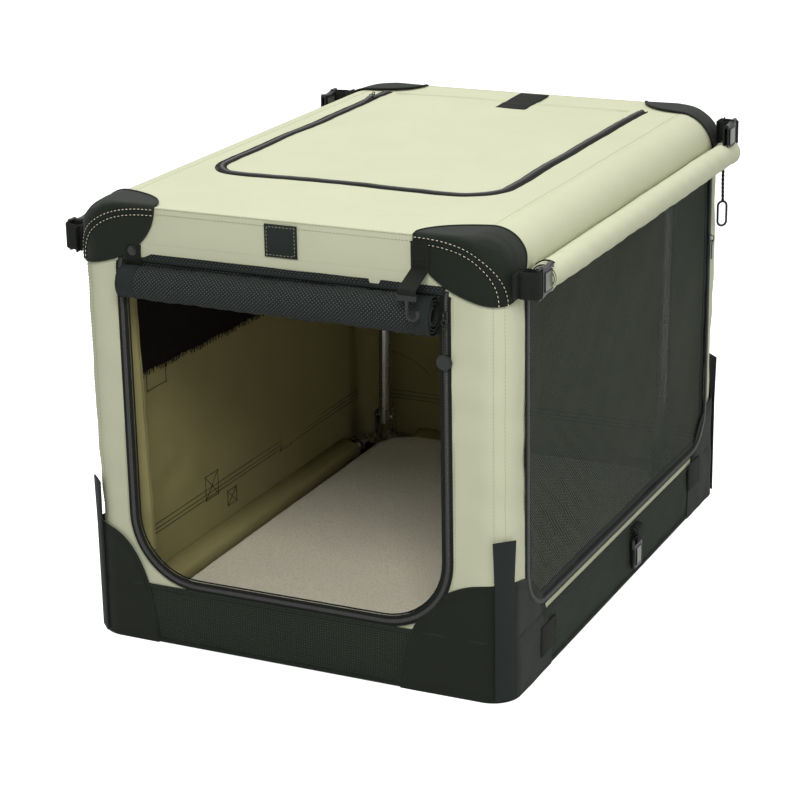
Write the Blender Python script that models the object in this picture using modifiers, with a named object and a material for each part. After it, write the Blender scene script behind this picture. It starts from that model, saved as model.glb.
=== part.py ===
"""Soft folding dog crate: a steel tube frame that folds flat inside a canvas and mesh cover.

Metres, +Z up. The origin is the centre of the underside, the door faces -Y and the mesh side +X.
"""

import math

import bmesh
import bpy
from mathutils import Matrix, Vector

# Overall size of the cover, corner to corner
WIDTH = 0.590
LENGTH = 0.820
HEIGHT = 0.590
HALF_W = WIDTH / 2
HALF_L = LENGTH / 2
CORNER_R = 0.035
SHOULDER_R = 0.045
SEAT_GAP = 0.0003
OVERRUN = 0.030
BEVEL_SHAPE = 0.5

# Cloth
CANVAS = 0.0020
BAND_CLOTH = 0.0025
MESH_CLOTH = 0.0015
PATCH_CLOTH = 0.0015
BAND_HEIGHT = 0.080
LID_DEPTH = 0.047

# Steel frame
TUBE_R = 0.0095
BASE_INSET_X = 0.023
BASE_INSET_Y = 0.020
TOP_INSET_X = 0.023
TOP_INSET_Y = 0.020
FRAME_BEND_R = 0.030
LID_TO_RAIL = 0.0088
HOOP_BEND_R = 0.045
FRONT_LEG_INSET = 0.020
REAR_LEG_INSET = 0.042
PIVOT_INSET = 0.045
PIVOT_Z = 0.070
BAR_INSET = 0.024
BAR_BELOW_RAIL = 0.026
LEG_FOOT = 0.012

# Hinge brackets and rivets
BRACKET_STEEL = 0.0020
BRACKET_LENGTH = 0.030
BRACKET_ABOVE_PIVOT = 0.011
BRACKET_LIP = 0.015
LEG_SIDE_GAP = 0.0005
RIVET_R = 0.0030
RIVET_HEAD_R = 0.0055
RIVET_HEAD = 0.0022

# Clips that hold the hoops against the top frame
CLIP_WALL = 0.0025
CLIP_LENGTH = 0.028
CLIP_X = 0.120
CLIP_EXIT_DEG = 31.0

# Floor and mat
FLOOR_THICK = 0.006
MAT_INSET_X = 0.050
MAT_INSET_Y = 0.018
MAT_THICK = 0.026
MAT_CORNER_R = 0.070
MAT_EDGE_R = 0.009

# Front doorway
DOOR_INSET_LEFT = 0.066
DOOR_INSET_RIGHT = 0.078
DOOR_ABOVE_BAND = 0.008
DOOR_BELOW_TOP = 0.066
DOOR_CORNER_R = 0.090
ZIP_WIDTH = 0.010
ZIP_THICK = 0.0024

# Mesh door in the right side
SIDE_INSET = 0.060
SIDE_ABOVE_BAND = 0.018
SIDE_BELOW_TOP = 0.078
SIDE_CORNER_R = 0.060

# Window in the left side, and the cover flap outside it
WINDOW_INSET = 0.148
WINDOW_DEPTH = 0.185
WINDOW_BELOW_TOP = 0.085
WINDOW_CORNER_R = 0.030
FLAP_MARGIN = 0.018

# Hatch in the top
HATCH_INSET_LEFT = 0.079
HATCH_INSET_RIGHT = 0.105
HATCH_INSET_FRONT = 0.205
HATCH_INSET_REAR = 0.058
HATCH_CORNER_R = 0.050
HATCH_THICK = 0.0016

# Corner caps, patches and upright sleeves
CAP_REACH_X = 0.115
CAP_REACH_Y = 0.064
CAP_REACH_Z = 0.084
PATCH_REACH_X = 0.140
PATCH_REACH_Y = 0.138
PATCH_REACH_Z = 0.154
SLEEVE_WIDTH = 0.027
SLEEVE_THICK = 0.0022
SLEEVE_HEIGHT = 0.215

# Rolled front door and rolled side cover
FRONT_ROLL_R = 0.0260
FRONT_ROLL_END_R = 0.0235
FRONT_ROLL_Y = 0.0085
FRONT_ROLL_BELOW_BAND = 0.034
FRONT_WEB_THICK = 0.003
SIDE_ROLL_R = 0.0225
SIDE_ROLL_OUT = 0.0105
SIDE_ROLL_INSET_FRONT = 0.076
SIDE_ROLL_INSET_REAR = 0.036
SIDE_ROLL_BELOW_TOP = 0.0675
SIDE_WEB_INSET_REAR = 0.075
SIDE_WEB_THICK = 0.003
SIDE_WEB_DROP = 0.006
ROLL_END_R = 0.006
WEB_OVERLAP = 0.004

# Webbing loops and buckle halves at the four top corners
WEBBING = 0.0015
WEBBING_WIDTH = 0.025
LOOP_REACH = 0.030
LOOP_WIDTH = 0.012
LOOP_INSET = 0.030
FRONT_LOOP_BELOW_TOP = 0.055
REAR_LOOP_BELOW_TOP = 0.0275
BUCKLE_LENGTH = 0.044
BUCKLE_WIDTH = 0.033
BUCKLE_THICK = 0.0076
BUCKLE_EDGE_R = 0.0015
BUCKLE_BAR = 0.003
BUCKLE_SLOT = 0.0055
BUCKLE_SLOT_SPARE = 0.0010
BUCKLE_MOUTH_DEPTH = 0.020
BUCKLE_MOUTH_WIDTH = 0.023
BUCKLE_MOUTH_HEIGHT = 0.0035

# Lower side buckle
LOW_LOOP_Y = 0.040
LOW_LOOP_BELOW_BAND = 0.002
LOW_LOOP_DROP = 0.026

# Keeper strap with its snap hook, over the right end of the front roll
KEEPER_INSET = 0.109
KEEPER_BELOW_TOP = 0.006
KEEPER_BEND_BELOW_TOP = 0.040
KEEPER_END_BELOW_TOP = 0.0615
KEEPER_END_OUT = 0.0425
HOOK_WIRE_R = 0.0020
HOOK_SHANK = 0.016
HOOK_BOW_R = 0.0070
HOOK_EYE_HEIGHT = 0.007
HOOK_EYE_THICK = 0.0045
HOOK_BOW_TURN_DEG = 215.0

# Zip sliders and pulls
SLIDER_LENGTH = 0.013
SLIDER_WIDTH = 0.0085
SLIDER_THICK = 0.0040
SLIDER_EDGE_R = 0.0010
BRIDGE_REACH = 0.0052
BRIDGE_HALF = 0.0042
BRIDGE_WIRE_R = 0.0008
PULL_WIRE_R = 0.0007
PULL_RING_R = 0.0036
FRONT_SLIDER_BELOW_DOOR = 0.030
SIDE_SLIDER_BELOW_DOOR = 0.102
CORD_PAIR_R = 0.0017
CORD_DROP = 0.038
DISC_R = 0.0098
DISC_THICK = 0.0032
TAB_LENGTH = 0.022
TAB_WIDTH = 0.006
TAB_THICK = 0.0016
HATCH_SLIDER_FROM_REAR = 0.054

# Side hook on its cord, behind the rear end of the side roll
SIDE_HOOK_FROM_END = 0.008
SIDE_HOOK_INWARD = 0.018
SIDE_HOOK_LENGTH = 0.030
SIDE_HOOK_WIDTH = 0.011
SIDE_HOOK_WIRE_R = 0.0016
SIDE_CORD_DROP = 0.050
SIDE_CORD_R = 0.0014

ARC_STEPS = 6
ROUND_SIDES = 24

# Places that follow from the sizes above
BASE_X, BASE_Y = HALF_W - BASE_INSET_X, HALF_L - BASE_INSET_Y
TOP_X, TOP_Y = HALF_W - TOP_INSET_X, HALF_L - TOP_INSET_Y
FRONT_LEG_X = BASE_X - FRONT_LEG_INSET
REAR_LEG_X = BASE_X - REAR_LEG_INSET
PIVOT_Y = BASE_Y - PIVOT_INSET
BAR_Y = TOP_Y - BAR_INSET
RAIL_Z = HEIGHT - CANVAS - LID_TO_RAIL - TUBE_R
BAR_Z = RAIL_Z - BAR_BELOW_RAIL
BASE_Z = FLOOR_THICK + SEAT_GAP + TUBE_R
MAT_HALF_X, MAT_HALF_Y = BASE_X - MAT_INSET_X, BASE_Y - MAT_INSET_Y
CAP_OUT = SEAT_GAP + PATCH_CLOTH
LID_LOW = HEIGHT - LID_DEPTH
DOOR_LEFT, DOOR_RIGHT = DOOR_INSET_LEFT - HALF_W, HALF_W - DOOR_INSET_RIGHT
DOOR_LOW, DOOR_HIGH = BAND_HEIGHT + DOOR_ABOVE_BAND, HEIGHT - DOOR_BELOW_TOP
SIDE_HALF_Y = HALF_L - SIDE_INSET
SIDE_LOW, SIDE_HIGH = BAND_HEIGHT + SIDE_ABOVE_BAND, HEIGHT - SIDE_BELOW_TOP
WINDOW_HALF_Y = HALF_L - WINDOW_INSET
WINDOW_HIGH = HEIGHT - WINDOW_BELOW_TOP
WINDOW_LOW = WINDOW_HIGH - WINDOW_DEPTH
HATCH_LEFT, HATCH_RIGHT = HATCH_INSET_LEFT - HALF_W, HALF_W - HATCH_INSET_RIGHT
HATCH_FRONT, HATCH_REAR = HATCH_INSET_FRONT - HALF_L, HALF_L - HATCH_INSET_REAR
SIDE_ROLL_X = HALF_W + SIDE_ROLL_OUT + SIDE_ROLL_R
SIDE_ROLL_Z = HEIGHT - SIDE_ROLL_BELOW_TOP
SIDE_ROLL_FRONT = SIDE_ROLL_INSET_FRONT - HALF_L
SIDE_ROLL_REAR = HALF_L - SIDE_ROLL_INSET_REAR
LOOP_Y = HALF_L - LOOP_INSET
KEEPER_X = HALF_W - KEEPER_INSET
FRONT_SLIDER_Z = DOOR_HIGH - FRONT_SLIDER_BELOW_DOOR
SIDE_SLIDER_Z = SIDE_HIGH - SIDE_SLIDER_BELOW_DOOR
HATCH_SLIDER_Y = HATCH_REAR - HATCH_SLIDER_FROM_REAR

COLOURS = {
    "canvas": ((0.44, 0.46, 0.34), 0.85, 0.0),
    "dark_cloth": ((0.018, 0.024, 0.018), 0.80, 0.0),
    "mesh_cloth": ((0.025, 0.032, 0.030), 0.75, 0.0),
    "fleece": ((0.62, 0.57, 0.45), 0.95, 0.0),
    "steel_tube": ((0.45, 0.45, 0.44), 0.35, 1.0),
    "zinc_steel": ((0.55, 0.55, 0.55), 0.30, 1.0),
    "black_plastic": ((0.020, 0.020, 0.022), 0.35, 0.0),
    "webbing": ((0.012, 0.013, 0.012), 0.80, 0.0),
    "black_metal": ((0.05, 0.05, 0.05), 0.35, 1.0),
}


def clear_scene():
    for item in list(bpy.data.objects):
        bpy.data.objects.remove(item)


def collection(name):
    group = bpy.data.collections.new(name)
    bpy.context.scene.collection.children.link(group)
    return group


def material(part_name, finish):
    colour, roughness, metallic = COLOURS[finish]
    made = bpy.data.materials.new(f"{part_name} {finish}")
    made.use_nodes = True
    shader = made.node_tree.nodes["Principled BSDF"]
    shader.inputs["Base Color"].default_value = (*colour, 1.0)
    shader.inputs["Roughness"].default_value = roughness
    shader.inputs["Metallic"].default_value = metallic
    return made


def add(name, data, finish=None, group=None):
    """A named object; without a finish it is a cutter."""
    made = bpy.data.objects.new(name, data)
    (group or (CRATE if finish else CUTTERS)).objects.link(made)
    if finish:
        data.materials.append(material(name, finish))
    else:
        made.hide_render = True
        made.display_type = "WIRE"
    return made


def arc(centre_x, centre_y, radius, start_deg, end_deg, steps=ARC_STEPS):
    """Points along an arc, both ends included."""
    turn = [start_deg + (end_deg - start_deg) * i / steps for i in range(steps + 1)]
    return [
        (
            centre_x + radius * math.cos(math.radians(a)),
            centre_y + radius * math.sin(math.radians(a)),
        )
        for a in turn
    ]


def rounded_rect(left, low, right, high, radius, steps=ARC_STEPS):
    return (
        arc(right - radius, low + radius, radius, -90, 0, steps)
        + arc(right - radius, high - radius, radius, 0, 90, steps)
        + arc(left + radius, high - radius, radius, 90, 180, steps)
        + arc(left + radius, low + radius, radius, 180, 270, steps)
    )


def u_path(left, low, right, high, radius):
    """An open U with round lower corners, from the upper left to the upper right."""
    return (
        [(left, high)]
        + arc(left + radius, low + radius, radius, 180, 270)
        + arc(right - radius, low + radius, radius, 270, 360)
        + [(right, high)]
    )


def thick_line(path, thickness):
    """The closed outline of a strip of one thickness along a path."""
    left, right = [], []
    for i, (x, y) in enumerate(path):
        x0, y0 = path[max(i - 1, 0)]
        x1, y1 = path[min(i + 1, len(path) - 1)]
        run = math.hypot(x1 - x0, y1 - y0)
        nx, ny = -(y1 - y0) / run, (x1 - x0) / run
        left.append((x + nx * thickness / 2, y + ny * thickness / 2))
        right.append((x - nx * thickness / 2, y - ny * thickness / 2))
    return left + right[::-1]


TURNS = {"XY": (0, 0, 0), "XZ": (math.pi / 2, 0, 0), "YZ": (math.pi / 2, 0, math.pi / 2)}


def prism(name, loops, low, high, finish=None, plane="XY"):
    """A flat outline, with any holes, made thick from low to high square to its plane."""
    data = bpy.data.curves.new(name, "CURVE")
    data.dimensions = "2D"
    data.fill_mode = "BOTH"
    data.extrude = (high - low) / 2
    for loop in loops:
        spline = data.splines.new("POLY")
        spline.points.add(len(loop) - 1)
        for point, (x, y) in zip(spline.points, loop):
            point.co = (x, y, 0, 1)
        spline.use_cyclic_u = True
    made = add(name, data, finish)
    middle = (low + high) / 2
    made.rotation_euler = TURNS[plane]
    made.location = {"XY": (0, 0, middle), "XZ": (0, middle, 0), "YZ": (middle, 0, 0)}[plane]
    return made


def tube(name, points, radius, finish=None, closed=False, fineness=4):
    """A round bar along a list of points."""
    data = bpy.data.curves.new(name, "CURVE")
    data.dimensions = "3D"
    data.bevel_depth = radius
    data.bevel_resolution = fineness
    data.use_fill_caps = True
    spline = data.splines.new("POLY")
    spline.points.add(len(points) - 1)
    for point, place in zip(spline.points, points):
        point.co = (*place, 1)
    spline.use_cyclic_u = closed
    return add(name, data, finish)


def as_mesh(curve):
    """Turns a curve object into a welded mesh object under the same name."""
    bpy.context.view_layer.update()
    graph = bpy.context.evaluated_depsgraph_get()
    data = bpy.data.meshes.new_from_object(curve.evaluated_get(graph))
    bm = bmesh.new()
    bm.from_mesh(data)
    bmesh.ops.remove_doubles(bm, verts=bm.verts, dist=SEAT_GAP / 30)
    bmesh.ops.recalc_face_normals(bm, faces=bm.faces)
    bm.to_mesh(data)
    bm.free()
    name, matrix, groups = curve.name, curve.matrix_world.copy(), curve.users_collection
    wire, hidden = curve.display_type, curve.hide_render
    bpy.data.objects.remove(curve)
    made = bpy.data.objects.new(name, data)
    groups[0].objects.link(made)
    made.matrix_world = matrix
    made.display_type, made.hide_render = wire, hidden
    return made


def boolean(target, other, operation):
    step = target.modifiers.new(f"{operation} {other.name}", "BOOLEAN")
    step.operation = operation
    step.object = other
    step.solver = "EXACT"


def box(name, low, high, finish=None, edge_r=0, segments=2):
    """A box from its lowest to its highest corner, with rounded edges if asked."""
    bm = bmesh.new()
    bmesh.ops.create_cube(bm, size=1)
    size = [b - a for a, b in zip(low, high)]
    bmesh.ops.scale(bm, vec=size, verts=bm.verts)
    bmesh.ops.translate(bm, vec=[(a + b) / 2 for a, b in zip(low, high)], verts=bm.verts)
    if edge_r:
        bmesh.ops.bevel(
            bm, geom=bm.edges, offset=edge_r, affect="EDGES", segments=segments, profile=BEVEL_SHAPE
        )
    data = bpy.data.meshes.new(name)
    bm.to_mesh(data)
    bm.free()
    return add(name, data, finish)


def rod(name, start, end, radius, finish=None, sides=ROUND_SIDES, end_r=0, radius_end=None):
    """A round bar or cone between two points, with rounded ends if asked."""
    bm = bmesh.new()
    start, end = Vector(start), Vector(end)
    along = end - start
    bmesh.ops.create_cone(
        bm,
        cap_ends=True,
        segments=sides,
        radius1=radius,
        radius2=radius if radius_end is None else radius_end,
        depth=along.length,
    )
    if end_r:
        rims = [e for e in bm.edges if abs(e.verts[0].co.z - e.verts[1].co.z) < SEAT_GAP / 30]
        bmesh.ops.bevel(bm, geom=rims, offset=end_r, affect="EDGES", segments=3, profile=BEVEL_SHAPE)
    turn = along.to_track_quat("Z", "Y").to_matrix().to_4x4()
    bmesh.ops.transform(bm, matrix=Matrix.Translation((start + end) / 2) @ turn, verts=bm.verts)
    data = bpy.data.meshes.new(name)
    bm.to_mesh(data)
    bm.free()
    return add(name, data, finish)


def ring(name, centre, radius, wire_r, axis, finish=None, start_deg=0, turn_deg=360, sides=16):
    """A closed ring of round wire, square to an axis."""
    turn = Vector(axis).to_track_quat("Z", "Y")
    flat = arc(0, 0, radius, start_deg, start_deg + turn_deg, sides)
    if turn_deg == 360:
        flat = flat[:-1]
    points = [Vector(centre) + turn @ Vector((x, y, 0)) for x, y in flat]
    return tube(name, points, wire_r, finish, closed=turn_deg == 360, fineness=2)


def union_of(name, pieces, finish):
    """One solid named for the part, joined from overlapping pieces."""
    first = pieces[0]
    for other in pieces[1:]:
        boolean(first, other, "UNION")
    first.name = name
    for group in first.users_collection:
        group.objects.unlink(first)
    CRATE.objects.link(first)
    first.hide_render = False
    first.display_type = "TEXTURED"
    first.data.materials.clear()
    first.data.materials.append(material(name, finish))
    return first


def hang_on(pivot_name, place, pieces):
    """An empty on a joint's axis that carries the pieces that move on it."""
    empty = bpy.data.objects.new(pivot_name, None)
    CRATE.objects.link(empty)
    empty.location = place
    for piece in pieces:
        piece.parent = empty
        piece.matrix_parent_inverse = Matrix.Translation(-Vector(place))
    return empty


def cover_outline(out=0.0):
    """The cover's plan outline, moved outwards by out."""
    return rounded_rect(
        -HALF_W - out, -HALF_L - out, HALF_W + out, HALF_L + out, CORNER_R + out
    )


def end_wall_outline(end):
    """Plan outline of a front (-1) or rear (+1) wall that wraps round both upright corners."""
    turn = 180 if end > 0 else 0
    inner_x, inner_y = HALF_W - CORNER_R, HALF_L - CORNER_R
    mid_r = CORNER_R - CANVAS / 2
    path = arc(inner_x, -inner_y, mid_r, 0, -90) + arc(-inner_x, -inner_y, mid_r, -90, -180)
    if turn:
        path = [(-x, -y) for x, y in path]
    return thick_line(path, CANVAS)


# Steel frame


def frame_rect(half_x, half_y, z):
    return [
        (x, y, z) for x, y in rounded_rect(-half_x, -half_y, half_x, half_y, FRAME_BEND_R)
    ]


def hoop_points(leg_x, end):
    """An upside-down U from foot to foot, leaning from its pivots out to the clips."""
    lean = (BAR_Y - PIVOT_Y) / (BAR_Z - PIVOT_Z)
    inner_x, inner_z = leg_x - HOOP_BEND_R, BAR_Z - HOOP_BEND_R
    flat = (
        [(leg_x, PIVOT_Z - LEG_FOOT)]
        + arc(inner_x, inner_z, HOOP_BEND_R, 0, 90)
        + arc(-inner_x, inner_z, HOOP_BEND_R, 90, 180)
        + [(-leg_x, PIVOT_Z - LEG_FOOT)]
    )
    return [(x, end * (PIVOT_Y + (z - PIVOT_Z) * lean), z) for x, z in flat]


def make_hoop(name, leg_x, end):
    hoop = as_mesh(tube(name, hoop_points(leg_x, end), TUBE_R, "steel_tube"))
    for side in (-1, 1):
        reach = TUBE_R + OVERRUN
        bore = rod(
            f"{name} rivet bore {side}",
            (side * leg_x - reach, end * PIVOT_Y, PIVOT_Z),
            (side * leg_x + reach, end * PIVOT_Y, PIVOT_Z),
            RIVET_R + SEAT_GAP,
        )
        boolean(hoop, bore, "DIFFERENCE")
    hang_on(f"{name} pivot", (0, end * PIVOT_Y, PIVOT_Z), [hoop])


def bracket_profile(leg_x):
    """A channel round the leg's foot whose web sits on the base tube with a lip each side."""
    inside = leg_x - TUBE_R - LEG_SIDE_GAP
    outside = leg_x + TUBE_R + LEG_SIDE_GAP
    web_low = BASE_Z + TUBE_R + SEAT_GAP
    web_high = web_low + BRACKET_STEEL
    top = PIVOT_Z + BRACKET_ABOVE_PIVOT
    saddle_in = BASE_X - TUBE_R - SEAT_GAP
    saddle_out = BASE_X + TUBE_R + SEAT_GAP
    lip = web_low - BRACKET_LIP
    return [
        (inside - BRACKET_STEEL, top),
        (inside - BRACKET_STEEL, web_low),
        (saddle_in - BRACKET_STEEL, web_low),
        (saddle_in - BRACKET_STEEL, lip),
        (saddle_in, lip),
        (saddle_in, web_low),
        (saddle_out, web_low),
        (saddle_out, lip),
        (saddle_out + BRACKET_STEEL, lip),
        (saddle_out + BRACKET_STEEL, web_high),
        (outside + BRACKET_STEEL, web_high),
        (outside + BRACKET_STEEL, top),
        (outside, top),
        (outside, web_high),
        (inside, web_high),
        (inside, top),
    ]


def make_bracket(place, side, end, leg_x):
    """One bracket with its rivet; the left ones are the right ones turned half round."""
    turn = Matrix.Rotation(0 if side > 0 else math.pi, 4, "Z")
    middle = side * end * PIVOT_Y
    half = BRACKET_LENGTH / 2
    outline = bracket_profile(leg_x)
    bracket = as_mesh(
        prism(f"hinge_bracket_{place}", [outline], middle - half, middle + half, "zinc_steel", "XZ")
    )
    cheek_out = leg_x + TUBE_R + LEG_SIDE_GAP + BRACKET_STEEL
    cheek_in = leg_x - TUBE_R - LEG_SIDE_GAP - BRACKET_STEEL
    ends = [(x, middle, PIVOT_Z) for x in (cheek_in - OVERRUN, cheek_out + OVERRUN)]
    bore = rod(f"rivet hole {place}", *ends, RIVET_R + SEAT_GAP)
    bracket.matrix_world = turn @ bracket.matrix_world
    bore.matrix_world = turn
    boolean(bracket, bore, "DIFFERENCE")
    head_in = cheek_in - SEAT_GAP - RIVET_HEAD
    head_out = cheek_out + SEAT_GAP + RIVET_HEAD
    shank = rod(
        f"rivet shank {place}",
        (head_in + RIVET_HEAD / 2, middle, PIVOT_Z),
        (head_out - RIVET_HEAD / 2, middle, PIVOT_Z),
        RIVET_R,
        "zinc_steel",
    )
    heads = [
        rod(
            f"rivet head {place} {i}",
            (x, middle, PIVOT_Z),
            (x + RIVET_HEAD, middle, PIVOT_Z),
            RIVET_HEAD_R,
            end_r=RIVET_HEAD / 3,
        )
        for i, x in enumerate((head_in, head_out - RIVET_HEAD))
    ]
    for piece in (shank, *heads):
        piece.matrix_world = turn
    union_of(f"hinge_rivet_{place}", [shank, *heads], "zinc_steel")


def capsule(start, end, radius):
    """A flat outline round two points, like a racetrack."""
    facing = math.degrees(math.atan2(end[1] - start[1], end[0] - start[0]))
    return arc(*end, radius, facing - 90, facing + 90) + arc(
        *start, radius, facing + 90, facing + 270
    )


def make_clip(place, side, end):
    """A moulded clip: a bore round the top rail and an open hook round the hoop's bar."""
    rail, bar = (end * TOP_Y, RAIL_Z), (end * BAR_Y, BAR_Z)
    low, high = side * CLIP_X - CLIP_LENGTH / 2, side * CLIP_X + CLIP_LENGTH / 2
    round_r = TUBE_R + CLIP_WALL
    hole_r = TUBE_R + SEAT_GAP
    clip = as_mesh(
        prism(f"frame_clip_{place}", [capsule(bar, rail, round_r)], low, high, "black_plastic", "YZ")
    )
    bore = rod(
        f"rail bore {place}",
        (low - OVERRUN, *rail),
        (high + OVERRUN, *rail),
        hole_r,
        sides=ROUND_SIDES * 2,
    )
    away = math.radians(CLIP_EXIT_DEG)
    exit_end = (
        bar[0] - end * (round_r + OVERRUN) * math.cos(away),
        bar[1] + (round_r + OVERRUN) * math.sin(away),
    )
    path = capsule(bar, exit_end, hole_r + SEAT_GAP)
    mouth = as_mesh(
        prism(f"bar mouth {place}", [path], low - OVERRUN, high + OVERRUN, plane="YZ")
    )
    boolean(clip, bore, "DIFFERENCE")
    boolean(clip, mouth, "DIFFERENCE")


def make_frame():
    tube("base_frame", frame_rect(BASE_X, BASE_Y, BASE_Z), TUBE_R, "steel_tube", closed=True)
    tube("top_frame", frame_rect(TOP_X, TOP_Y, RAIL_Z), TUBE_R, "steel_tube", closed=True)
    make_hoop("front_hoop", FRONT_LEG_X, -1)
    make_hoop("rear_hoop", REAR_LEG_X, 1)
    for end, leg_x, end_name in ((-1, FRONT_LEG_X, "front"), (1, REAR_LEG_X, "rear")):
        for side, side_name in ((-1, "left"), (1, "right")):
            make_bracket(f"{end_name}_{side_name}", side, end, leg_x)
            make_clip(f"{end_name}_{side_name}", side, end)


# Floor, mat and lower band


def make_floor():
    inset = -BAND_CLOTH - SEAT_GAP
    prism("floor_panel", [cover_outline(inset)], 0, FLOOR_THICK, "dark_cloth")
    outline = rounded_rect(-MAT_HALF_X, -MAT_HALF_Y, MAT_HALF_X, MAT_HALF_Y, MAT_CORNER_R)
    low = FLOOR_THICK + SEAT_GAP
    mat = as_mesh(prism("mat", [outline], low, low + MAT_THICK, "fleece"))
    soften = mat.modifiers.new("round edge", "BEVEL")
    soften.width = MAT_EDGE_R
    soften.segments = 3
    soften.limit_method = "ANGLE"
    soften.angle_limit = math.radians(60)
    ring_loops = [cover_outline(), cover_outline(-BAND_CLOTH)]
    prism("lower_band", ring_loops, 0, BAND_HEIGHT, "dark_cloth")


# Walls, zips and the mesh door


def make_front():
    low, high = BAND_HEIGHT + SEAT_GAP, LID_LOW - SEAT_GAP
    panel = as_mesh(prism("front_panel", [end_wall_outline(-1)], low, high, "canvas"))
    edge = ZIP_WIDTH / 2 + SEAT_GAP
    hole = u_path(
        DOOR_LEFT - edge, DOOR_LOW - edge, DOOR_RIGHT + edge, DOOR_HIGH, DOOR_CORNER_R + edge
    )
    front = -HALF_L - OVERRUN
    back = -HALF_L + CANVAS + OVERRUN
    cut = as_mesh(prism("doorway cut", [hole], front, back, plane="XZ"))
    boolean(panel, cut, "DIFFERENCE")
    line = u_path(DOOR_LEFT, DOOR_LOW, DOOR_RIGHT, DOOR_HIGH - SEAT_GAP, DOOR_CORNER_R)
    middle = -HALF_L + CANVAS / 2
    prism(
        "front_zip",
        [thick_line(line, ZIP_WIDTH)],
        middle - ZIP_THICK / 2,
        middle + ZIP_THICK / 2,
        "webbing",
        "XZ",
    )


def make_rear():
    low, high = BAND_HEIGHT + SEAT_GAP, LID_LOW - SEAT_GAP
    prism("rear_panel", [end_wall_outline(1)], low, high, "canvas")


def side_panel(name, side, hole):
    reach = HALF_L - CORNER_R - SEAT_GAP
    low, high = BAND_HEIGHT + SEAT_GAP, LID_LOW - SEAT_GAP
    outline = [(-reach, low), (reach, low), (reach, high), (-reach, high)]
    faces = sorted((side * (HALF_W - CANVAS), side * HALF_W))
    prism(name, [outline, hole], *faces, "canvas", "YZ")


def make_right_side():
    edge = ZIP_WIDTH / 2 + SEAT_GAP
    half = SIDE_HALF_Y
    hole = u_path(
        -half - edge, SIDE_LOW - edge, half + edge, SIDE_HIGH + SEAT_GAP, SIDE_CORNER_R + edge
    )
    side_panel("right_panel", 1, hole)
    middle = HALF_W - CANVAS / 2
    line = u_path(-half, SIDE_LOW, half, SIDE_HIGH, SIDE_CORNER_R)
    prism(
        "side_zip",
        [thick_line(line, ZIP_WIDTH)],
        middle - ZIP_THICK / 2,
        middle + ZIP_THICK / 2,
        "webbing",
        "YZ",
    )
    inner = u_path(-half + edge, SIDE_LOW + edge, half - edge, SIDE_HIGH, SIDE_CORNER_R - edge)
    faces = (middle - MESH_CLOTH / 2, middle + MESH_CLOTH / 2)
    prism("side_mesh_door", [inner], *faces, "mesh_cloth", "YZ")


def make_left_side():
    rim = (-WINDOW_HALF_Y, WINDOW_LOW, WINDOW_HALF_Y, WINDOW_HIGH)
    side_panel("left_panel", -1, rounded_rect(*rim, WINDOW_CORNER_R))
    gap = SEAT_GAP
    pane = (rim[0] + gap, rim[1] + gap, rim[2] - gap, rim[3] - gap)
    middle = -HALF_W + CANVAS / 2
    faces = (middle - MESH_CLOTH / 2, middle + MESH_CLOTH / 2)
    outline = rounded_rect(*pane, WINDOW_CORNER_R - gap)
    prism("left_window_mesh", [outline], *faces, "mesh_cloth", "YZ")
    more = FLAP_MARGIN
    flap = (rim[0] - more, rim[1] - more, rim[2] + more, LID_LOW - SEAT_GAP)
    skin = -HALF_W - SEAT_GAP
    outline = rounded_rect(*flap, WINDOW_CORNER_R)
    prism("left_window_cover", [outline], skin - CANVAS, skin, "canvas", "YZ")


# Top, hatch and corner caps


def cover_block(name, out, low):
    """The cover's whole block moved out by out: round shoulders, and round upright corners."""
    half, top, turn = HALF_W + out, HEIGHT + out, SHOULDER_R + out
    profile = (
        [(half, low)]
        + arc(half - turn, top - turn, turn, 0, 90)
        + arc(turn - half, top - turn, turn, 90, 180)
        + [(-half, low)]
    )
    reach = HALF_L + out
    block = as_mesh(prism(name, [profile], -reach, reach, plane="XZ"))
    plan = as_mesh(prism(f"{name} plan", [cover_outline(out)], low - OVERRUN, HEIGHT + OVERRUN))
    boolean(block, plan, "INTERSECT")
    return block


def upright_ring(name, out, inner_out, high):
    """A ring round the walls between two offsets, from the floor up to high."""
    return as_mesh(prism(name, [cover_outline(out), cover_outline(inner_out)], 0, high))


def hatch_loop(out):
    """The hatch's outline, moved out by out; its rear edge is the seam that it turns on."""
    left, right = HATCH_LEFT - out, HATCH_RIGHT + out
    front = HATCH_FRONT - out
    return u_path(left, front, right, HATCH_REAR, HATCH_CORNER_R + out)


def make_top():
    lid = cover_block("top_panel", 0, LID_LOW)
    inner = cover_block("top inside", -CANVAS, LID_LOW - OVERRUN)
    edge = ZIP_WIDTH / 2 + SEAT_GAP
    cut = as_mesh(prism("hatch cut", [hatch_loop(edge)], LID_LOW, HEIGHT + OVERRUN))
    boolean(lid, inner, "DIFFERENCE")
    boolean(lid, cut, "DIFFERENCE")
    union_of("top_panel", [lid], "canvas")
    line = thick_line(hatch_loop(0), ZIP_WIDTH)
    zip_low = HEIGHT - CANVAS / 2 - ZIP_THICK / 2
    clear = HATCH_REAR - SEAT_GAP
    line = [(x, min(y, clear)) for x, y in line]
    prism("top_zip", [line], zip_low, zip_low + ZIP_THICK, "webbing")
    flap = [(x, min(y, clear)) for x, y in hatch_loop(-edge)]
    hatch = prism("top_hatch", [flap], HEIGHT - HATCH_THICK, HEIGHT, "canvas")
    hang_on("top_hatch seam", (0, HATCH_REAR, HEIGHT), [hatch])


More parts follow.
